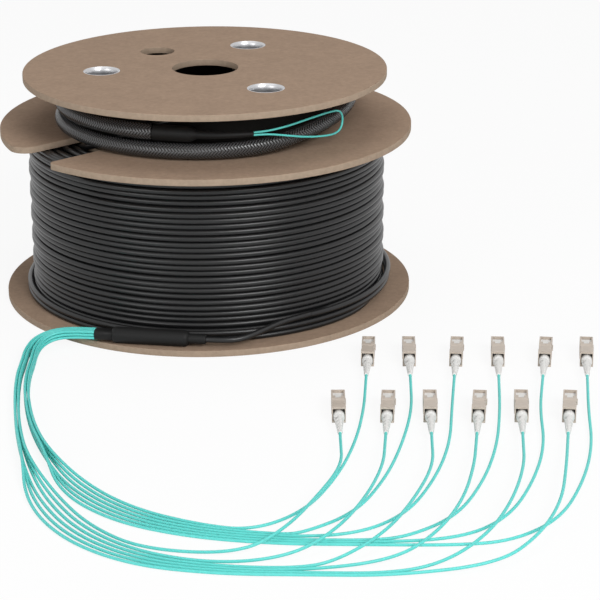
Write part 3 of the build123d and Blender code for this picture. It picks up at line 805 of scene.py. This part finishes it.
def slot_corner(line, radius, away_from):
    """Arc that rounds the corner between the rim and one edge of the slot, from the rim inwards.

    Its centre is its radius inside the rim and its radius off the edge, on the board's side.
    """
    outer, inner = np.array(line[0]), np.array(line[1])
    step = (outer - inner) / np.linalg.norm(outer - inner)
    across = np.array([-step[1], step[0]])
    across = across * np.sign(np.dot(across, inner - np.array(away_from)))
    base = inner + across * radius
    reach = np.dot(base, step) ** 2 - np.dot(base, base) + (FLANGE_RADIUS - radius) ** 2
    centre = base + step * (np.sqrt(reach) - np.dot(base, step))
    first = np.arctan2(centre[1], centre[0])
    swing = (np.arctan2(-across[1], -across[0]) - first + pi) % tau - pi
    turn = first + swing * np.linspace(0, 1, 12)
    return centre + radius * np.column_stack([np.cos(turn), np.sin(turn)])


def slot_outline(rear_radius, front_radius):
    """Rim of the middle board with its slot cut in, going round anticlockwise."""
    rear_in, front_in = np.array(SLOT_REAR_LINE[1]), np.array(SLOT_FRONT_LINE[1])
    rear_arc = slot_corner(SLOT_REAR_LINE, rear_radius, front_in)
    front_arc = slot_corner(SLOT_FRONT_LINE, front_radius, rear_in)[::-1]
    first = np.arctan2(front_arc[-1][1], front_arc[-1][0])
    last = first + (np.arctan2(rear_arc[0][1], rear_arc[0][0]) - first) % tau
    turn = np.linspace(first, last, 360)[1:-1]
    rim = FLANGE_RADIUS * np.column_stack([np.cos(turn), np.sin(turn)])
    return np.concatenate([front_arc, rim, rear_arc, [rear_in, front_in]])


def build_boards(options):
    """Three round boards, the middle one with its slot."""
    board = board_material()
    outline = slot_outline(options.slot_rear_radius, options.slot_front_radius)
    rows = [
        ("bottom-board", FLANGE_RADIUS, 0.0, None, "bottom_flange"),
        ("middle-board", FLANGE_RADIUS, MIDDLE_Z, outline, "middle_flange"),
        ("top-board", TOP_FLANGE_RADIUS, TOP_Z, None, "top_flange"),
    ]
    for name, radius, z, shape, node in rows:
        piece = disc_curve(name, radius, z, shape)
        dress(piece, board, "board", node)


def build_tubes(options):
    """Tie tubes: straight bore that flares at each end into a lip rolled over as a bead.

    The flare is a quarter of an ellipse, as deep as its property says; the bead is half of
    one, from the flare's mouth out to the lip's edge.
    """
    bead = (TIE_LIP_RADIUS - TIE_MOUTH) / 2
    middle = (TIE_LIP_RADIUS + TIE_MOUTH) / 2
    widen = TIE_MOUTH - TIE_INNER
    deep, high = options.flare_depth, options.bead_height
    turn = np.linspace(0, pi / 2, 8)
    flare = [(TIE_MOUTH - widen * sin(t), deep * (1 - cos(t)) + high) for t in turn]
    half = np.linspace(0, pi, 9)
    roll = [(middle - bead * cos(t), high - high * sin(t)) for t in half]
    back = list(zip((TIE_LIP_RADIUS, TIE_RADIUS), TIE_LIP_DEPTHS))
    end = flare[::-1] + roll[1:] + back
    profile = [(r, HEIGHT - z) for r, z in end] + end[::-1] + [(TIE_INNER, HEIGHT - deep - high)]
    grids = []
    for angle in TIE_ANGLES:
        place = (np.eye(3), polar(angle, TIE_PITCH_RADIUS, 0))
        grids.append(lathe(profile, place, 72))
    piece = join_grids("tie-tubes", grids, True)
    dress(piece, finish("plated steel"), "tube_steel", "tie_tubes")


def slot_layers():
    """Arcs of the layers that end under the slot, one grid each, from the outermost inwards.

    Height is the winding's top, less a lift that alternates between layers, plus a slow sine;
    the distance from the axis is the layer's radius plus another slow sine.
    """
    arc = np.linspace(*np.radians(SLOT_ARC), 60)
    grids = []
    for number, layer in enumerate(np.arange(TURN_RADIUS, INNERMOST_RADIUS, -LAYER_STEP)):
        top = MIDDLE_Z - CABLE_RADIUS - (0.0004 if number % 2 else 0.0019)
        z = top + 0.0004 * np.sin(arc * 5 + number * 1.7)
        radius = layer + 0.0003 * np.sin(arc * 3 + number)
        line = np.column_stack([radius * np.cos(arc), radius * np.sin(arc), z])
        grids.append(tube(line, CABLE_RADIUS, 12, span=radians(359)))
    return grids


def build_winding(options):
    """The outer layer as one helix: a turn lies level and steps up once at the back.

    Height is pitch x (whole turns - 0.5 + smooth step over the crossing), plus a slow wave;
    the distance from the axis is the turn radius plus a slower wave. A plain wall stands
    behind the turns.
    """
    per_turn = 170
    turns = np.linspace(0, TURNS, TURNS * per_turn + 1)
    pitch = (MIDDLE_Z - BOARD) / TURNS
    part = np.clip((turns % 1.0) / CROSSING_SHARE, 0, 1)
    smooth = part * part * (3 - 2 * part)
    whole = np.floor(turns)
    angle = turns * tau + options.crossing_angle
    swell = np.sin(whole * 1.55 + 2.2 * np.sin(angle * 0.5)) * np.sin(angle + whole * 0.4)
    z = BOARD + pitch * (whole - 0.5 + smooth) + options.wave * 0.2 * swell
    z = np.clip(z, BOARD + CABLE_RADIUS + 0.0001, MIDDLE_Z - CABLE_RADIUS - 0.0001)
    sway = np.sin(whole * 1.57 + 0.6 * np.cos(angle)) - 1
    radius = TURN_RADIUS + options.wave * 0.5 * sway
    line = np.column_stack([radius * np.cos(angle), radius * np.sin(angle), z])
    strand = tube(line, CABLE_RADIUS, 10, span=radians(210), start=radians(-105))
    wall = TURN_RADIUS - options.wave - 0.0006
    turn = np.linspace(0, tau, 181)
    rows = [
        np.column_stack([wall * np.cos(turn), wall * np.sin(turn), 0 * turn + height])
        for height in (BOARD + 0.0002, MIDDLE_Z - 0.0004)
    ]
    piece = join_grids("winding", [strand, np.array(rows)] + slot_layers(), False)
    dress(piece, finish("cable jacket"), "cable_black", "trunk_winding")


def build_outer_turns(options):
    """The wider turns that lie on the bottom board outside the winding, and the tail.

    Height runs through the table's pairs, smoothed by a bell-shaped average; the distance
    from the axis is the turns' radius plus a bell-shaped bulge, and tucks in at the end.
    """
    tail = tail_points()
    piece = spline_object("trunk-tail", tail, CABLE_RADIUS, CORD_STEPS)
    dress(piece, finish("cable jacket"), "cable_black", "trunk_tail")
    make_cord(piece, tail, CABLE_RADIUS, far_end="object", stiffness="medium", lay="taut")
    knots, heights = np.array(OUTER_TURN_HEIGHTS).T
    degrees_round = np.linspace(knots[0], knots[-1], 420)
    kernel = np.hanning(21) / np.hanning(21).sum()
    z = np.pad(np.interp(degrees_round, knots, heights), 10, mode="edge")
    z = np.convolve(z, kernel, mode="valid")
    bulge = options.bulge / MM * np.exp(-(((degrees_round - BULGE_ANGLE) / BULGE_SPREAD) ** 2))
    tuck = TUCK_DEPTH * np.clip((degrees_round - TUCK_START) / TUCK_SPAN, 0, 1) ** 2
    radius = OUTER_TURN_RADIUS / MM + bulge - tuck
    angle = np.radians(degrees_round)
    turns = np.column_stack([radius * np.cos(angle), radius * np.sin(angle), z]) * MM
    outer = join_grids("outer-turns", [tube(turns, CABLE_RADIUS, 14)], True)
    dress(outer, finish("cable jacket"), "cable_black")


def rounded_profile(radius, length, shoulder):
    """Pairs of a cylinder whose two ends are rounded by a quarter circle."""
    turn = np.linspace(0, pi / 2, 8)
    low = [(radius - shoulder + shoulder * sin(t), shoulder - shoulder * cos(t)) for t in turn]
    high = [(r, length - z) for r, z in reversed(low)]
    return [(0.0, 0.0)] + low + high + [(0.0, length)]


def build_fanout(options):
    """Fanout body between its two necks, all three turned round one axis.

    The legs' neck is a rounded oval: half axis x sign(cos t) |cos t| ^ (2 / squareness),
    and the same with the sine.
    """
    origin, out = fanout_start()
    turned, base = axes_along(-out), origin * MM
    moulding = finish("black moulding")
    profile = rounded_profile(FANOUT_RADIUS, FANOUT_LENGTH, FANOUT_SHOULDER)
    body = lathe(profile, (turned, base - out * FANOUT_NECK), 64)
    piece = join_grids("fanout-body", [body], True)
    dress(piece, moulding, "fanout_black", "fanout_body")
    turn = np.linspace(0, tau, 64, endpoint=False)
    power = 2.0 / options.neck_squareness
    x = np.sign(np.cos(turn)) * np.abs(np.cos(turn)) ** power * LEG_NECK_HALF[0]
    y = np.sign(np.sin(turn)) * np.abs(np.sin(turn)) ** power * LEG_NECK_HALF[1]
    sunk = FANOUT_NECK + LEG_NECK_SINK
    rows = [
        np.column_stack([x * share, y * share, 0 * turn + along]) @ turned.T + base
        for share, along in ((0, 0), (0.93, 0), (1, 0.0006), (1, sunk), (0, sunk))
    ]
    piece = join_grids("fanout-leg-neck", [np.array(rows)], True)
    dress(piece, moulding, "fanout_black", "fanout_leg_boot")
    end = base - out * (FANOUT_NECK + FANOUT_LENGTH)
    piece = join_grids("fanout-cable-neck", [lathe(CABLE_NECK_PROFILE, (turned, end), 48)], True)
    dress(piece, moulding, "fanout_black", "fanout_cable_boot")


def build_sleeve(options):
    """Braided sleeve: two sets of strands in opposite spirals, each over two and under two.

    With a and b the two diagonal coordinates, the strand on top at a point is of the first
    set where (floor a + floor b) mod 4 is below 2; the surface stands out by the round
    profile of that strand across its width. The sleeve is slightly lobed, and drawn in at
    its end. The pair kept at each point counts the cells along the sleeve and round it.
    """
    count = options.strands
    cell = tau * SLEEVE_RADIUS / count
    step = cell * options.slant
    fine = 4
    route = centreline(sleeve_points())
    line, along = resample(route, int(line_length(route) / step * fine) + 1)
    turn = np.linspace(0, tau, count * fine, endpoint=False)
    s = along[:, None]
    around, lengthwise = np.broadcast_arrays(turn[None, :] / tau * count, s / step)
    a, b = around + lengthwise, around - lengthwise
    over = (np.floor(a + 1e-6) + np.floor(b + 1e-6)) % 4 < 2
    across = (np.where(over, a, b) + 1e-6) % 1.0 * 2 - 1
    height = np.sqrt(np.clip(1 - across**2, 0, 1))
    bulk = 0.00012 * np.sin(s * 90) + 0.0001 * np.sin(s * 37 + 1) - 0.0001
    lobes = options.lobes * (np.sin(3 * turn[None, :] + s * 60) * np.sin(s * 25 + 2) - 1)
    free = SLEEVE_RADIUS + bulk + lobes
    run = DRAWN_IN_RUN * MM
    drawn_in = np.clip((s - along[-1] + run) / run, 0, 1) ** 2
    radius = free + (PULL_BOOT_MOUTH - free) * drawn_in - options.relief * (1 - height)
    grid = tube(line, radius, count * fine)
    counts = np.stack([lengthwise, around], axis=-1)
    half = len(line) // 2
    halves = {"sleeve-first-turn": slice(0, half + 1), "sleeve-last-turn": slice(half, None)}
    for name, rows in halves.items():
        piece = join_grids(name, [grid[rows]], True, [counts[rows]], count)
        dress(piece, braid_material(), "braid_black", "pulling_sleeve")


def build_pulling_end(options):
    """Boot and neck with the profile of the table along their route, the loop and the lead."""
    points, _ = pull_points()
    line, along = resample(centreline(points), 120)
    knots, sizes = np.array(PULL_PROFILE).T
    radius = np.interp(along / MM, knots, sizes)[:, None] * MM
    piece = join_grids("pulling-end", [tube(line, radius, 40)], True)
    dress(piece, finish("black moulding"), "fanout_black", "pulling_end")
    route = loop_points()
    loop = spline_object("pull-loop", route, options.loop_radius, CORD_STEPS)
    dress(loop, finish("aqua jacket"), "aqua_jacket", "pull_loop")
    make_cord(
        loop, route, options.loop_radius, far_end="object", stiffness="stiff", lay="hanging"
    )
    lead = np.array([polar(*p) for p in LEAD_ROUTE]) * MM
    piece = spline_object("sleeve-lead", lead, CABLE_RADIUS, CORD_STEPS)
    dress(piece, finish("cable jacket"), "cable_black", "sleeve_lead")


def boot_grid(place, options):
    """Tapered boot with staggered slots: the wall drops straight to each slot's floor.

    Rows stand in pairs at the slots' edges. Near the leg's end the floor lies below the
    leg's surface, so that the leg shows in the slots.
    """
    first, run, crowding = BOOT_SLOTS
    centres = first - run * np.linspace(0, 1, options.slots) ** crowding
    half = options.slot_width / MM / 2
    around_slots = [centres + shift for shift in (-half - BOOT_WALL, -half, half, half + BOOT_WALL)]
    knots, sizes = np.array(BOOT_PROFILE).T
    ends = [knots[0], knots[-1]]
    along = np.sort(np.concatenate(around_slots + [np.linspace(*BOOT_ROWS), knots, ends]))
    turn = np.linspace(0, tau, 48, endpoint=False)
    radius = np.interp(along, knots, sizes)
    radius[[0, -1]] = 0
    radius = np.repeat(radius[:, None], len(turn), axis=1)
    floors = np.interp(centres, *np.array(BOOT_FLOORS).T)
    for number, (centre, floor) in enumerate(zip(centres, floors)):
        angle = pi / 2 if number % 2 else -pi / 2
        away = np.abs((turn - angle + pi) % tau - pi)
        near = np.abs(along - centre) < half + 0.01
        inside = near[:, None] & (away < radians(BOOT_SLOT_ARC / 2))[None, :]
        radius = np.where(inside, np.minimum(radius, floor), radius)
    level_z = np.broadcast_to(along[:, None], radius.shape)
    local = np.stack([radius * np.cos(turn), radius * np.sin(turn), level_z], axis=-1)
    return (local * MM) @ place[0].T + place[1]


def spring_grid(place, coils):
    """Grid of the wire of a coil spring, pinched shut at both ends.

    Centre (r cos t, r sin t, start + wire + climb t), swept by a circle across the tangent.
    """
    angle = np.linspace(0, tau * coils, 20 * coils + 1)
    climb = (SPRING_END - SPRING_START - 2 * SPRING_WIRE) / angle[-1]
    outward = np.stack([np.cos(angle), np.sin(angle), 0 * angle], axis=1)
    centre = SPRING_RADIUS * outward
    centre[:, 2] = SPRING_START + SPRING_WIRE + climb * angle
    tangent = np.gradient(centre, angle, axis=0)
    across = np.cross(tangent / np.linalg.norm(tangent, axis=1)[:, None], outward)
    turn = np.linspace(0, tau, 8, endpoint=False)[None, :, None]
    size = np.full(len(angle), SPRING_WIRE)
    size[[0, -1]] = 0
    ring = np.cos(turn) * outward[:, None] + np.sin(turn) * across[:, None]
    local = centre[:, None] + ring * size[:, None, None]
    return (local * MM) @ place[0].T + place[1]


def build_springs(options):
    """One coil spring behind every ferrule."""
    for number, plug in enumerate(FRONT_PLUGS + REAR_PLUGS, start=1):
        place = plug_place(plug)
        grid = spring_grid(place, options.coils)
        spring = join_grids(f"ferrule-spring-{number:02d}", [grid], True)
        dress(spring, finish("plated steel"), "spring_steel", "ferrule_springs")
        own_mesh(spring)


def build_plugs(options):
    """Grips, ferrules, frames and barrels keep their solids; boots are drawn with their slots."""
    boots = []
    for number, plug in enumerate(FRONT_PLUGS + REAR_PLUGS, start=1):
        boots.append(boot_grid(plug_place(plug), options))
        grip = frame["nodes"][f"grip_{number:02d}"]
        paint(grip, finish("beige moulding"))
        merge = grip.modifiers.new("merge facets", "DECIMATE")
        merge.decimate_type = "DISSOLVE"
        merge.angle_limit = radians(2)
        ease_edges(grip, options.edge_ease, 2, 30, harden=True)
        paint(frame["nodes"][f"ferrule_{number:02d}"], finish("white ceramic"))
    piece = join_grids("bend-reliefs", boots, True)
    dress(piece, finish("white moulding"), "boot_white", "boots")
    plug_frames = paint(frame["nodes"]["plug_frames"], finish("white moulding"))
    ease_edges(plug_frames, 0.00015, 1, 40)
    paint(frame["nodes"]["crimp_bodies"], finish("plated steel"))
    paint(frame["nodes"]["winding_barrel"], finish("wound card"))
    # Painted shade: the upper barrel is coloured near black for the shadow of the upper chamber
    paint(frame["nodes"]["upper_barrel"], finish("dark card"))


def build_legs(options):
    """Twelve legs, each a spline through the same points as its solid."""
    rows = [
        (FRONT_PLUGS, FRONT_STATIONS, FRONT_TURN, FRONT_STRAIGHT, False, 1),
        (REAR_PLUGS, REAR_STATIONS, REAR_TURN, REAR_STRAIGHT, True, 7),
    ]
    for plugs, stations, turn, straight, inner, first in rows:
        for index, plug in enumerate(plugs):
            number = f"{first + index:02d}"
            route = leg_points(index, plug, stations, turn, straight, inner)
            leg = spline_object(f"leg-{number}", route, LEG_RADIUS, options.resolution)
            dress(leg, finish("aqua jacket"), "aqua_jacket", f"leg_{number}")
            ends = [f"grip_{number}", f"ferrule_{number}"]
            make_cord(
                leg, route, LEG_RADIUS, far_end="connector", stiffness="medium", lay="loose",
                with_pieces=ends,
            )


def area_light(name, position, target, size, power):
    """Rectangular lamp that faces its target."""
    data = bpy.data.lights.new(name, "AREA")
    data.shape = "RECTANGLE"
    data.size, data.size_y = size
    data.energy = power
    obj = add_object(name, data)
    obj.location = position
    direction = Vector(target) - Vector(position)
    obj.rotation_euler = direction.to_track_quat("-Z", "Y").to_euler()


def seen_directly(tree):
    """1 for rays of the camera and for those of shiny and clear surfaces, else 0."""
    path = tree.nodes.new("ShaderNodeLightPath")
    names = ("Is Camera Ray", "Is Glossy Ray", "Is Transmission Ray")
    first, second, third = [path.outputs[name] for name in names]
    return math_node(tree, "MAXIMUM", math_node(tree, "MAXIMUM", first, second), third)


def add_camera():
    """Camera as in the photo: it looks along its pitch and yaw, and rolls round that line."""
    camera = bpy.data.cameras.new("camera")
    camera.lens = CAMERA_LENS
    camera.sensor_width = 36
    camera.clip_end = 20
    eye = add_object("camera", camera)
    pitch, yaw, roll = radians(CAMERA_PITCH), radians(CAMERA_YAW), radians(CAMERA_ROLL)
    forward = Vector((sin(yaw) * cos(pitch), cos(yaw) * cos(pitch), sin(pitch)))
    right = forward.cross(Vector((0, 0, 1))).normalized()
    up = right.cross(forward)
    right, up = cos(roll) * right + sin(roll) * up, cos(roll) * up - sin(roll) * right
    matrix = Matrix((right, up, -forward)).transposed().to_4x4()
    matrix.translation = Vector(CAMERA_PLACE)
    eye.matrix_world = matrix
    bpy.context.scene.camera = eye


def add_floor(options):
    """Pale floor that keeps the shadow, with plain white mixed in where it is seen."""
    size = options.floor_size
    corners = [(-size, -size, 0), (size, -size, 0), (size, size, 0), (-size, size, 0)]
    floor = new_mesh("floor", np.array(corners) - np.array([0, 0, 0.0003]), [[0, 1, 2, 3]])
    material, tree, shader = new_material("floor")
    shader.inputs["Base Color"].default_value = (0.97, 0.97, 0.97, 1)
    shader.inputs["Roughness"].default_value = 0.9
    shader.inputs["Specular IOR Level"].default_value = 0.0
    white = tree.nodes.new("ShaderNodeEmission")
    blend = tree.nodes.new("ShaderNodeMixShader")
    share = math_node(tree, "MULTIPLY", seen_directly(tree), options.white_floor)
    tree.links.new(share, blend.inputs[0])
    tree.links.new(shader.outputs[0], blend.inputs[1])
    tree.links.new(white.outputs[0], blend.inputs[2])
    tree.links.new(blend.outputs[0], tree.nodes["Material Output"].inputs["Surface"])
    paint(floor, material)


def add_surround(options):
    """White surround: full strength where it is seen, and dimmer as light."""
    world = bpy.data.worlds.new("surround")
    bpy.context.scene.world = world
    world.use_nodes = True
    tree = world.node_tree
    back = tree.nodes["Background"]
    strength = tree.nodes.new("ShaderNodeMix")
    strength.data_type = "FLOAT"
    strength.inputs["A"].default_value = options.ambient
    strength.inputs["B"].default_value = 1.0
    tree.links.new(seen_directly(tree), strength.inputs["Factor"])
    tree.links.new(strength.outputs["Result"], back.inputs["Strength"])
    back.inputs["Color"].default_value = (1, 1, 1, 1)


def build_stage(options):
    """Camera, pale floor, white surround and the lamps of the table."""
    add_camera()
    bpy.context.scene.view_settings.view_transform = "Standard"
    add_floor(options)
    add_surround(options)
    for name, position, target, size, share in LAMPS:
        area_light(name, position, target, size, options.key_power * share)


# Add-on
class TrunkFinishSettings(bpy.types.PropertyGroup):
    """Colours of the finishes."""

    board_face: bpy.props.FloatVectorProperty(
        name="Board face", description="Flat side of a board", default=(0.378, 0.268, 0.193),
        subtype="COLOR", min=0, max=1)
    board_rim: bpy.props.FloatVectorProperty(
        name="Board rim", description="Cut edge of a board", default=(0.375, 0.285, 0.212),
        subtype="COLOR", min=0, max=1)
    cable: bpy.props.FloatVectorProperty(
        name="Cable", description="Jacket of the trunk", default=(0.010, 0.010, 0.0105),
        subtype="COLOR", min=0, max=1)
    moulding: bpy.props.FloatVectorProperty(
        name="Black mouldings", description="Fanout and pulling end", default=(0.01, 0.01, 0.01),
        subtype="COLOR", min=0, max=1)
    # The braid's two colours are painted light on one black monofilament: a painted highlight on
    # the strands' tops and painted shade between them
    braid_painted_highlight: bpy.props.FloatVectorProperty(
        name="Braid painted highlight", description="Top of a strand", default=(0.080, 0.080, 0.082),
        subtype="COLOR", min=0, max=1)
    braid_painted_shade: bpy.props.FloatVectorProperty(
        name="Braid painted shade", description="Between the strands", default=(0.0015, 0.0015, 0.0015),
        subtype="COLOR", min=0, max=1)
    aqua: bpy.props.FloatVectorProperty(
        name="Aqua", description="Legs and pulling loop", default=(0.115, 0.67, 0.62),
        subtype="COLOR", min=0, max=1)
    grip: bpy.props.FloatVectorProperty(
        name="Grip", description="Outer sleeve of a connector", default=(0.56, 0.485, 0.415),
        subtype="COLOR", min=0, max=1)
    boot: bpy.props.FloatVectorProperty(
        name="Boot", description="Boots and inner frames", default=(0.80, 0.79, 0.77),
        subtype="COLOR", min=0, max=1)
    ferrule: bpy.props.FloatVectorProperty(
        name="Ferrule", description="Ceramic of the ferrules", default=(0.80, 0.80, 0.79),
        subtype="COLOR", min=0, max=1)
    steel: bpy.props.FloatVectorProperty(
        name="Steel", description="Tie tubes, springs and crimp bodies",
        default=(0.54, 0.54, 0.55), subtype="COLOR", min=0, max=1)
    card: bpy.props.FloatVectorProperty(
        name="Card", description="Barrel under the winding", default=(0.28, 0.21, 0.15),
        subtype="COLOR", min=0, max=1)
    # Near black as painted shade of the upper chamber, not the card's own colour
    dark_card: bpy.props.FloatVectorProperty(
        name="Painted shade card", description="Barrel of the upper chamber",
        default=(0.012, 0.011, 0.010), subtype="COLOR", min=0, max=1)


class TrunkDrumSettings(bpy.types.PropertyGroup):
    """Sizes of the boards and tie tubes."""

    slot_rear_radius: bpy.props.FloatProperty(
        name="Slot rear corner", description="Rounding where the slot's rear edge meets the rim",
        default=0.010, min=0.001, max=0.02, unit="LENGTH")
    slot_front_radius: bpy.props.FloatProperty(
        name="Slot front corner", description="Rounding where the slot's front edge meets the rim",
        default=0.003, min=0.001, max=0.02, unit="LENGTH")
    bead_height: bpy.props.FloatProperty(
        name="Bead height", description="How high the rolled lip of a tie tube stands",
        default=0.0005, min=0.0002, max=0.001, unit="LENGTH")
    flare_depth: bpy.props.FloatProperty(
        name="Flare depth", description="How far down a tie tube widens towards its lip",
        default=0.0032, min=0.001, max=0.01, unit="LENGTH")


class TrunkCableSettings(bpy.types.PropertyGroup):
    """Lie of the winding and shape of the fanout's neck."""

    wave: bpy.props.FloatProperty(
        name="Unevenness", description="How far turns of the winding wander",
        default=0.0011, min=0.0, max=0.002, unit="LENGTH")
    crossing_angle: bpy.props.FloatProperty(
        name="Crossing angle", description="Where each turn steps up to the next",
        default=radians(80), subtype="ANGLE")
    bulge: bpy.props.FloatProperty(
        name="Bulge", description="How far the outer turn stands off on the right",
        default=0.0008, min=0.0, max=0.0015, unit="LENGTH")
    neck_squareness: bpy.props.FloatProperty(
        name="Neck squareness", description="2 is an ellipse, higher is squarer", default=2.9,
        min=2.0, max=6.0)


class TrunkSleeveSettings(bpy.types.PropertyGroup):
    """Weave of the pulling sleeve, and its loop."""

    strands: bpy.props.IntProperty(
        name="Strands", description="Strands round the sleeve in one direction, a multiple of 4",
        default=12, min=8, max=48)
    slant: bpy.props.FloatProperty(
        name="Slant", description="Length of a cell over its width", default=0.72, min=0.3, max=3)
    relief: bpy.props.FloatProperty(
        name="Relief", description="Height of a strand over the valley beside it",
        default=0.0005, min=0.0, max=0.001, unit="LENGTH")
    lobes: bpy.props.FloatProperty(
        name="Lobes", description="Depth of the slow folds along the sleeve",
        default=0.0002, min=0.0, max=0.001, unit="LENGTH")
    loop_radius: bpy.props.FloatProperty(
        name="Loop radius", description="Half the thickness of the pulling loop",
        default=0.0006, min=0.0003, max=0.0006, unit="LENGTH")


class TrunkPlugSettings(bpy.types.PropertyGroup):
    """Details of the connectors and legs."""

    slots: bpy.props.IntProperty(
        name="Slots", description="Slots in a boot", default=10, min=2, max=14)
    slot_width: bpy.props.FloatProperty(
        name="Slot width", description="Width of a slot along the boot", default=0.0007,
        min=0.0002, max=0.0012, unit="LENGTH")
    edge_ease: bpy.props.FloatProperty(
        name="Edge easing", description="Rounding of the grip's edges", default=0.0003,
        min=0.0, max=0.001, unit="LENGTH")
    coils: bpy.props.IntProperty(
        name="Coils", description="Coils in a ferrule's spring", default=8, min=4, max=10)
    resolution: bpy.props.IntProperty(
        name="Leg resolution", description="Steps between two points of a leg", default=10,
        min=4, max=24)


class TrunkStageSettings(bpy.types.PropertyGroup):
    """Floor and light."""

    floor_size: bpy.props.FloatProperty(
        name="Floor size", description="Half width of the floor", default=6.0, unit="LENGTH")
    white_floor: bpy.props.FloatProperty(
        name="White floor", description="Share of plain white in the floor as it is seen",
        default=0.9, min=0.0, max=1.0)
    ambient: bpy.props.FloatProperty(
        name="Ambient", description="Strength of the surround on the object", default=0.30)
    key_power: bpy.props.FloatProperty(
        name="Key power", description="Power of the main light", default=19.5, unit="POWER")


def build(settings, builder):
    """Runs a builder with its settings, and fails if it adds nothing."""
    before = len(bpy.data.objects)
    builder(settings)
    if len(bpy.data.objects) <= before:
        raise RuntimeError("nothing was added")
    return {"FINISHED"}


class TRUNK_OT_boards(bpy.types.Operator):
    """Add the three boards"""

    bl_idname = "trunk.boards"
    bl_label = "Boards"

    def execute(self, context):
        return build(context.scene.trunk_drum, build_boards)


class TRUNK_OT_tubes(bpy.types.Operator):
    """Add the three tie tubes"""

    bl_idname = "trunk.tubes"
    bl_label = "Tie tubes"

    def execute(self, context):
        return build(context.scene.trunk_drum, build_tubes)


class TRUNK_OT_winding(bpy.types.Operator):
    """Add the turns between the boards"""

    bl_idname = "trunk.winding"
    bl_label = "Winding"

    def execute(self, context):
        return build(context.scene.trunk_cable, build_winding)


class TRUNK_OT_outer_turns(bpy.types.Operator):
    """Add the wider turns and the tail that leads to the fanout"""

    bl_idname = "trunk.outer_turns"
    bl_label = "Outer turns"

    def execute(self, context):
        return build(context.scene.trunk_cable, build_outer_turns)


class TRUNK_OT_fanout(bpy.types.Operator):
    """Add the fanout and its necks"""

    bl_idname = "trunk.fanout"
    bl_label = "Fanout"

    def execute(self, context):
        return build(context.scene.trunk_cable, build_fanout)


class TRUNK_OT_sleeve(bpy.types.Operator):
    """Add the braided sleeve"""

    bl_idname = "trunk.sleeve"
    bl_label = "Pulling sleeve"

    def execute(self, context):
        return build(context.scene.trunk_sleeve, build_sleeve)


class TRUNK_OT_pulling_end(bpy.types.Operator):
    """Add the sleeve's moulded end, its loop and the cable that leads in"""

    bl_idname = "trunk.pulling_end"
    bl_label = "Pulling end"

    def execute(self, context):
        return build(context.scene.trunk_sleeve, build_pulling_end)


class TRUNK_OT_legs(bpy.types.Operator):
    """Add the twelve legs"""

    bl_idname = "trunk.legs"
    bl_label = "Legs"

    def execute(self, context):
        return build(context.scene.trunk_plug, build_legs)


class TRUNK_OT_plugs(bpy.types.Operator):
    """Add the boots, and finish the solids of the connectors and barrels"""

    bl_idname = "trunk.plugs"
    bl_label = "Connectors"

    def execute(self, context):
        return build(context.scene.trunk_plug, build_plugs)


class TRUNK_OT_springs(bpy.types.Operator):
    """Add the springs behind the ferrules"""

    bl_idname = "trunk.springs"
    bl_label = "Springs"

    def execute(self, context):
        return build(context.scene.trunk_plug, build_springs)


class TRUNK_OT_stage(bpy.types.Operator):
    """Add the camera, floor, surround and lamps"""

    bl_idname = "trunk.stage"
    bl_label = "Stage"

    def execute(self, context):
        return build(context.scene.trunk_stage, build_stage)


OPERATORS = [
    TRUNK_OT_boards,
    TRUNK_OT_tubes,
    TRUNK_OT_winding,
    TRUNK_OT_outer_turns,
    TRUNK_OT_fanout,
    TRUNK_OT_sleeve,
    TRUNK_OT_pulling_end,
    TRUNK_OT_legs,
    TRUNK_OT_plugs,
    TRUNK_OT_springs,
    TRUNK_OT_stage,
]
GROUPS = {
    "trunk_finish": TrunkFinishSettings,
    "trunk_drum": TrunkDrumSettings,
    "trunk_cable": TrunkCableSettings,
    "trunk_sleeve": TrunkSleeveSettings,
    "trunk_plug": TrunkPlugSettings,
    "trunk_stage": TrunkStageSettings,
}


class TRUNK_PT_panel(bpy.types.Panel):
    """Buttons for the pieces, and their settings"""

    bl_label = "Trunk Cable"
    bl_idname = "TRUNK_PT_panel"
    bl_space_type = "VIEW_3D"
    bl_region_type = "UI"
    bl_category = "Trunk Cable"

    def draw(self, context):
        for operator in OPERATORS:
            self.layout.operator(operator.bl_idname)
        for name, group in GROUPS.items():
            box = self.layout.box()
            for key in group.__annotations__:
                box.prop(getattr(context.scene, name), key)


def register():
    """Makes the classes and their settings known."""
    for name, group in GROUPS.items():
        bpy.utils.register_class(group)
        setattr(bpy.types.Scene, name, bpy.props.PointerProperty(type=group))
    for operator in OPERATORS:
        bpy.utils.register_class(operator)
    bpy.utils.register_class(TRUNK_PT_panel)


def unregister():
    """Takes the classes and settings away again."""
    bpy.utils.unregister_class(TRUNK_PT_panel)
    for operator in reversed(OPERATORS):
        bpy.utils.unregister_class(operator)
    for name, group in GROUPS.items():
        delattr(bpy.types.Scene, name)
        bpy.utils.unregister_class(group)


def main():
    """Builds everything in order."""
    register()
    for operator in OPERATORS:
        group, name = operator.bl_idname.split(".")
        getattr(getattr(bpy.ops, group), name)()


if __name__ == "__main__":
    main()
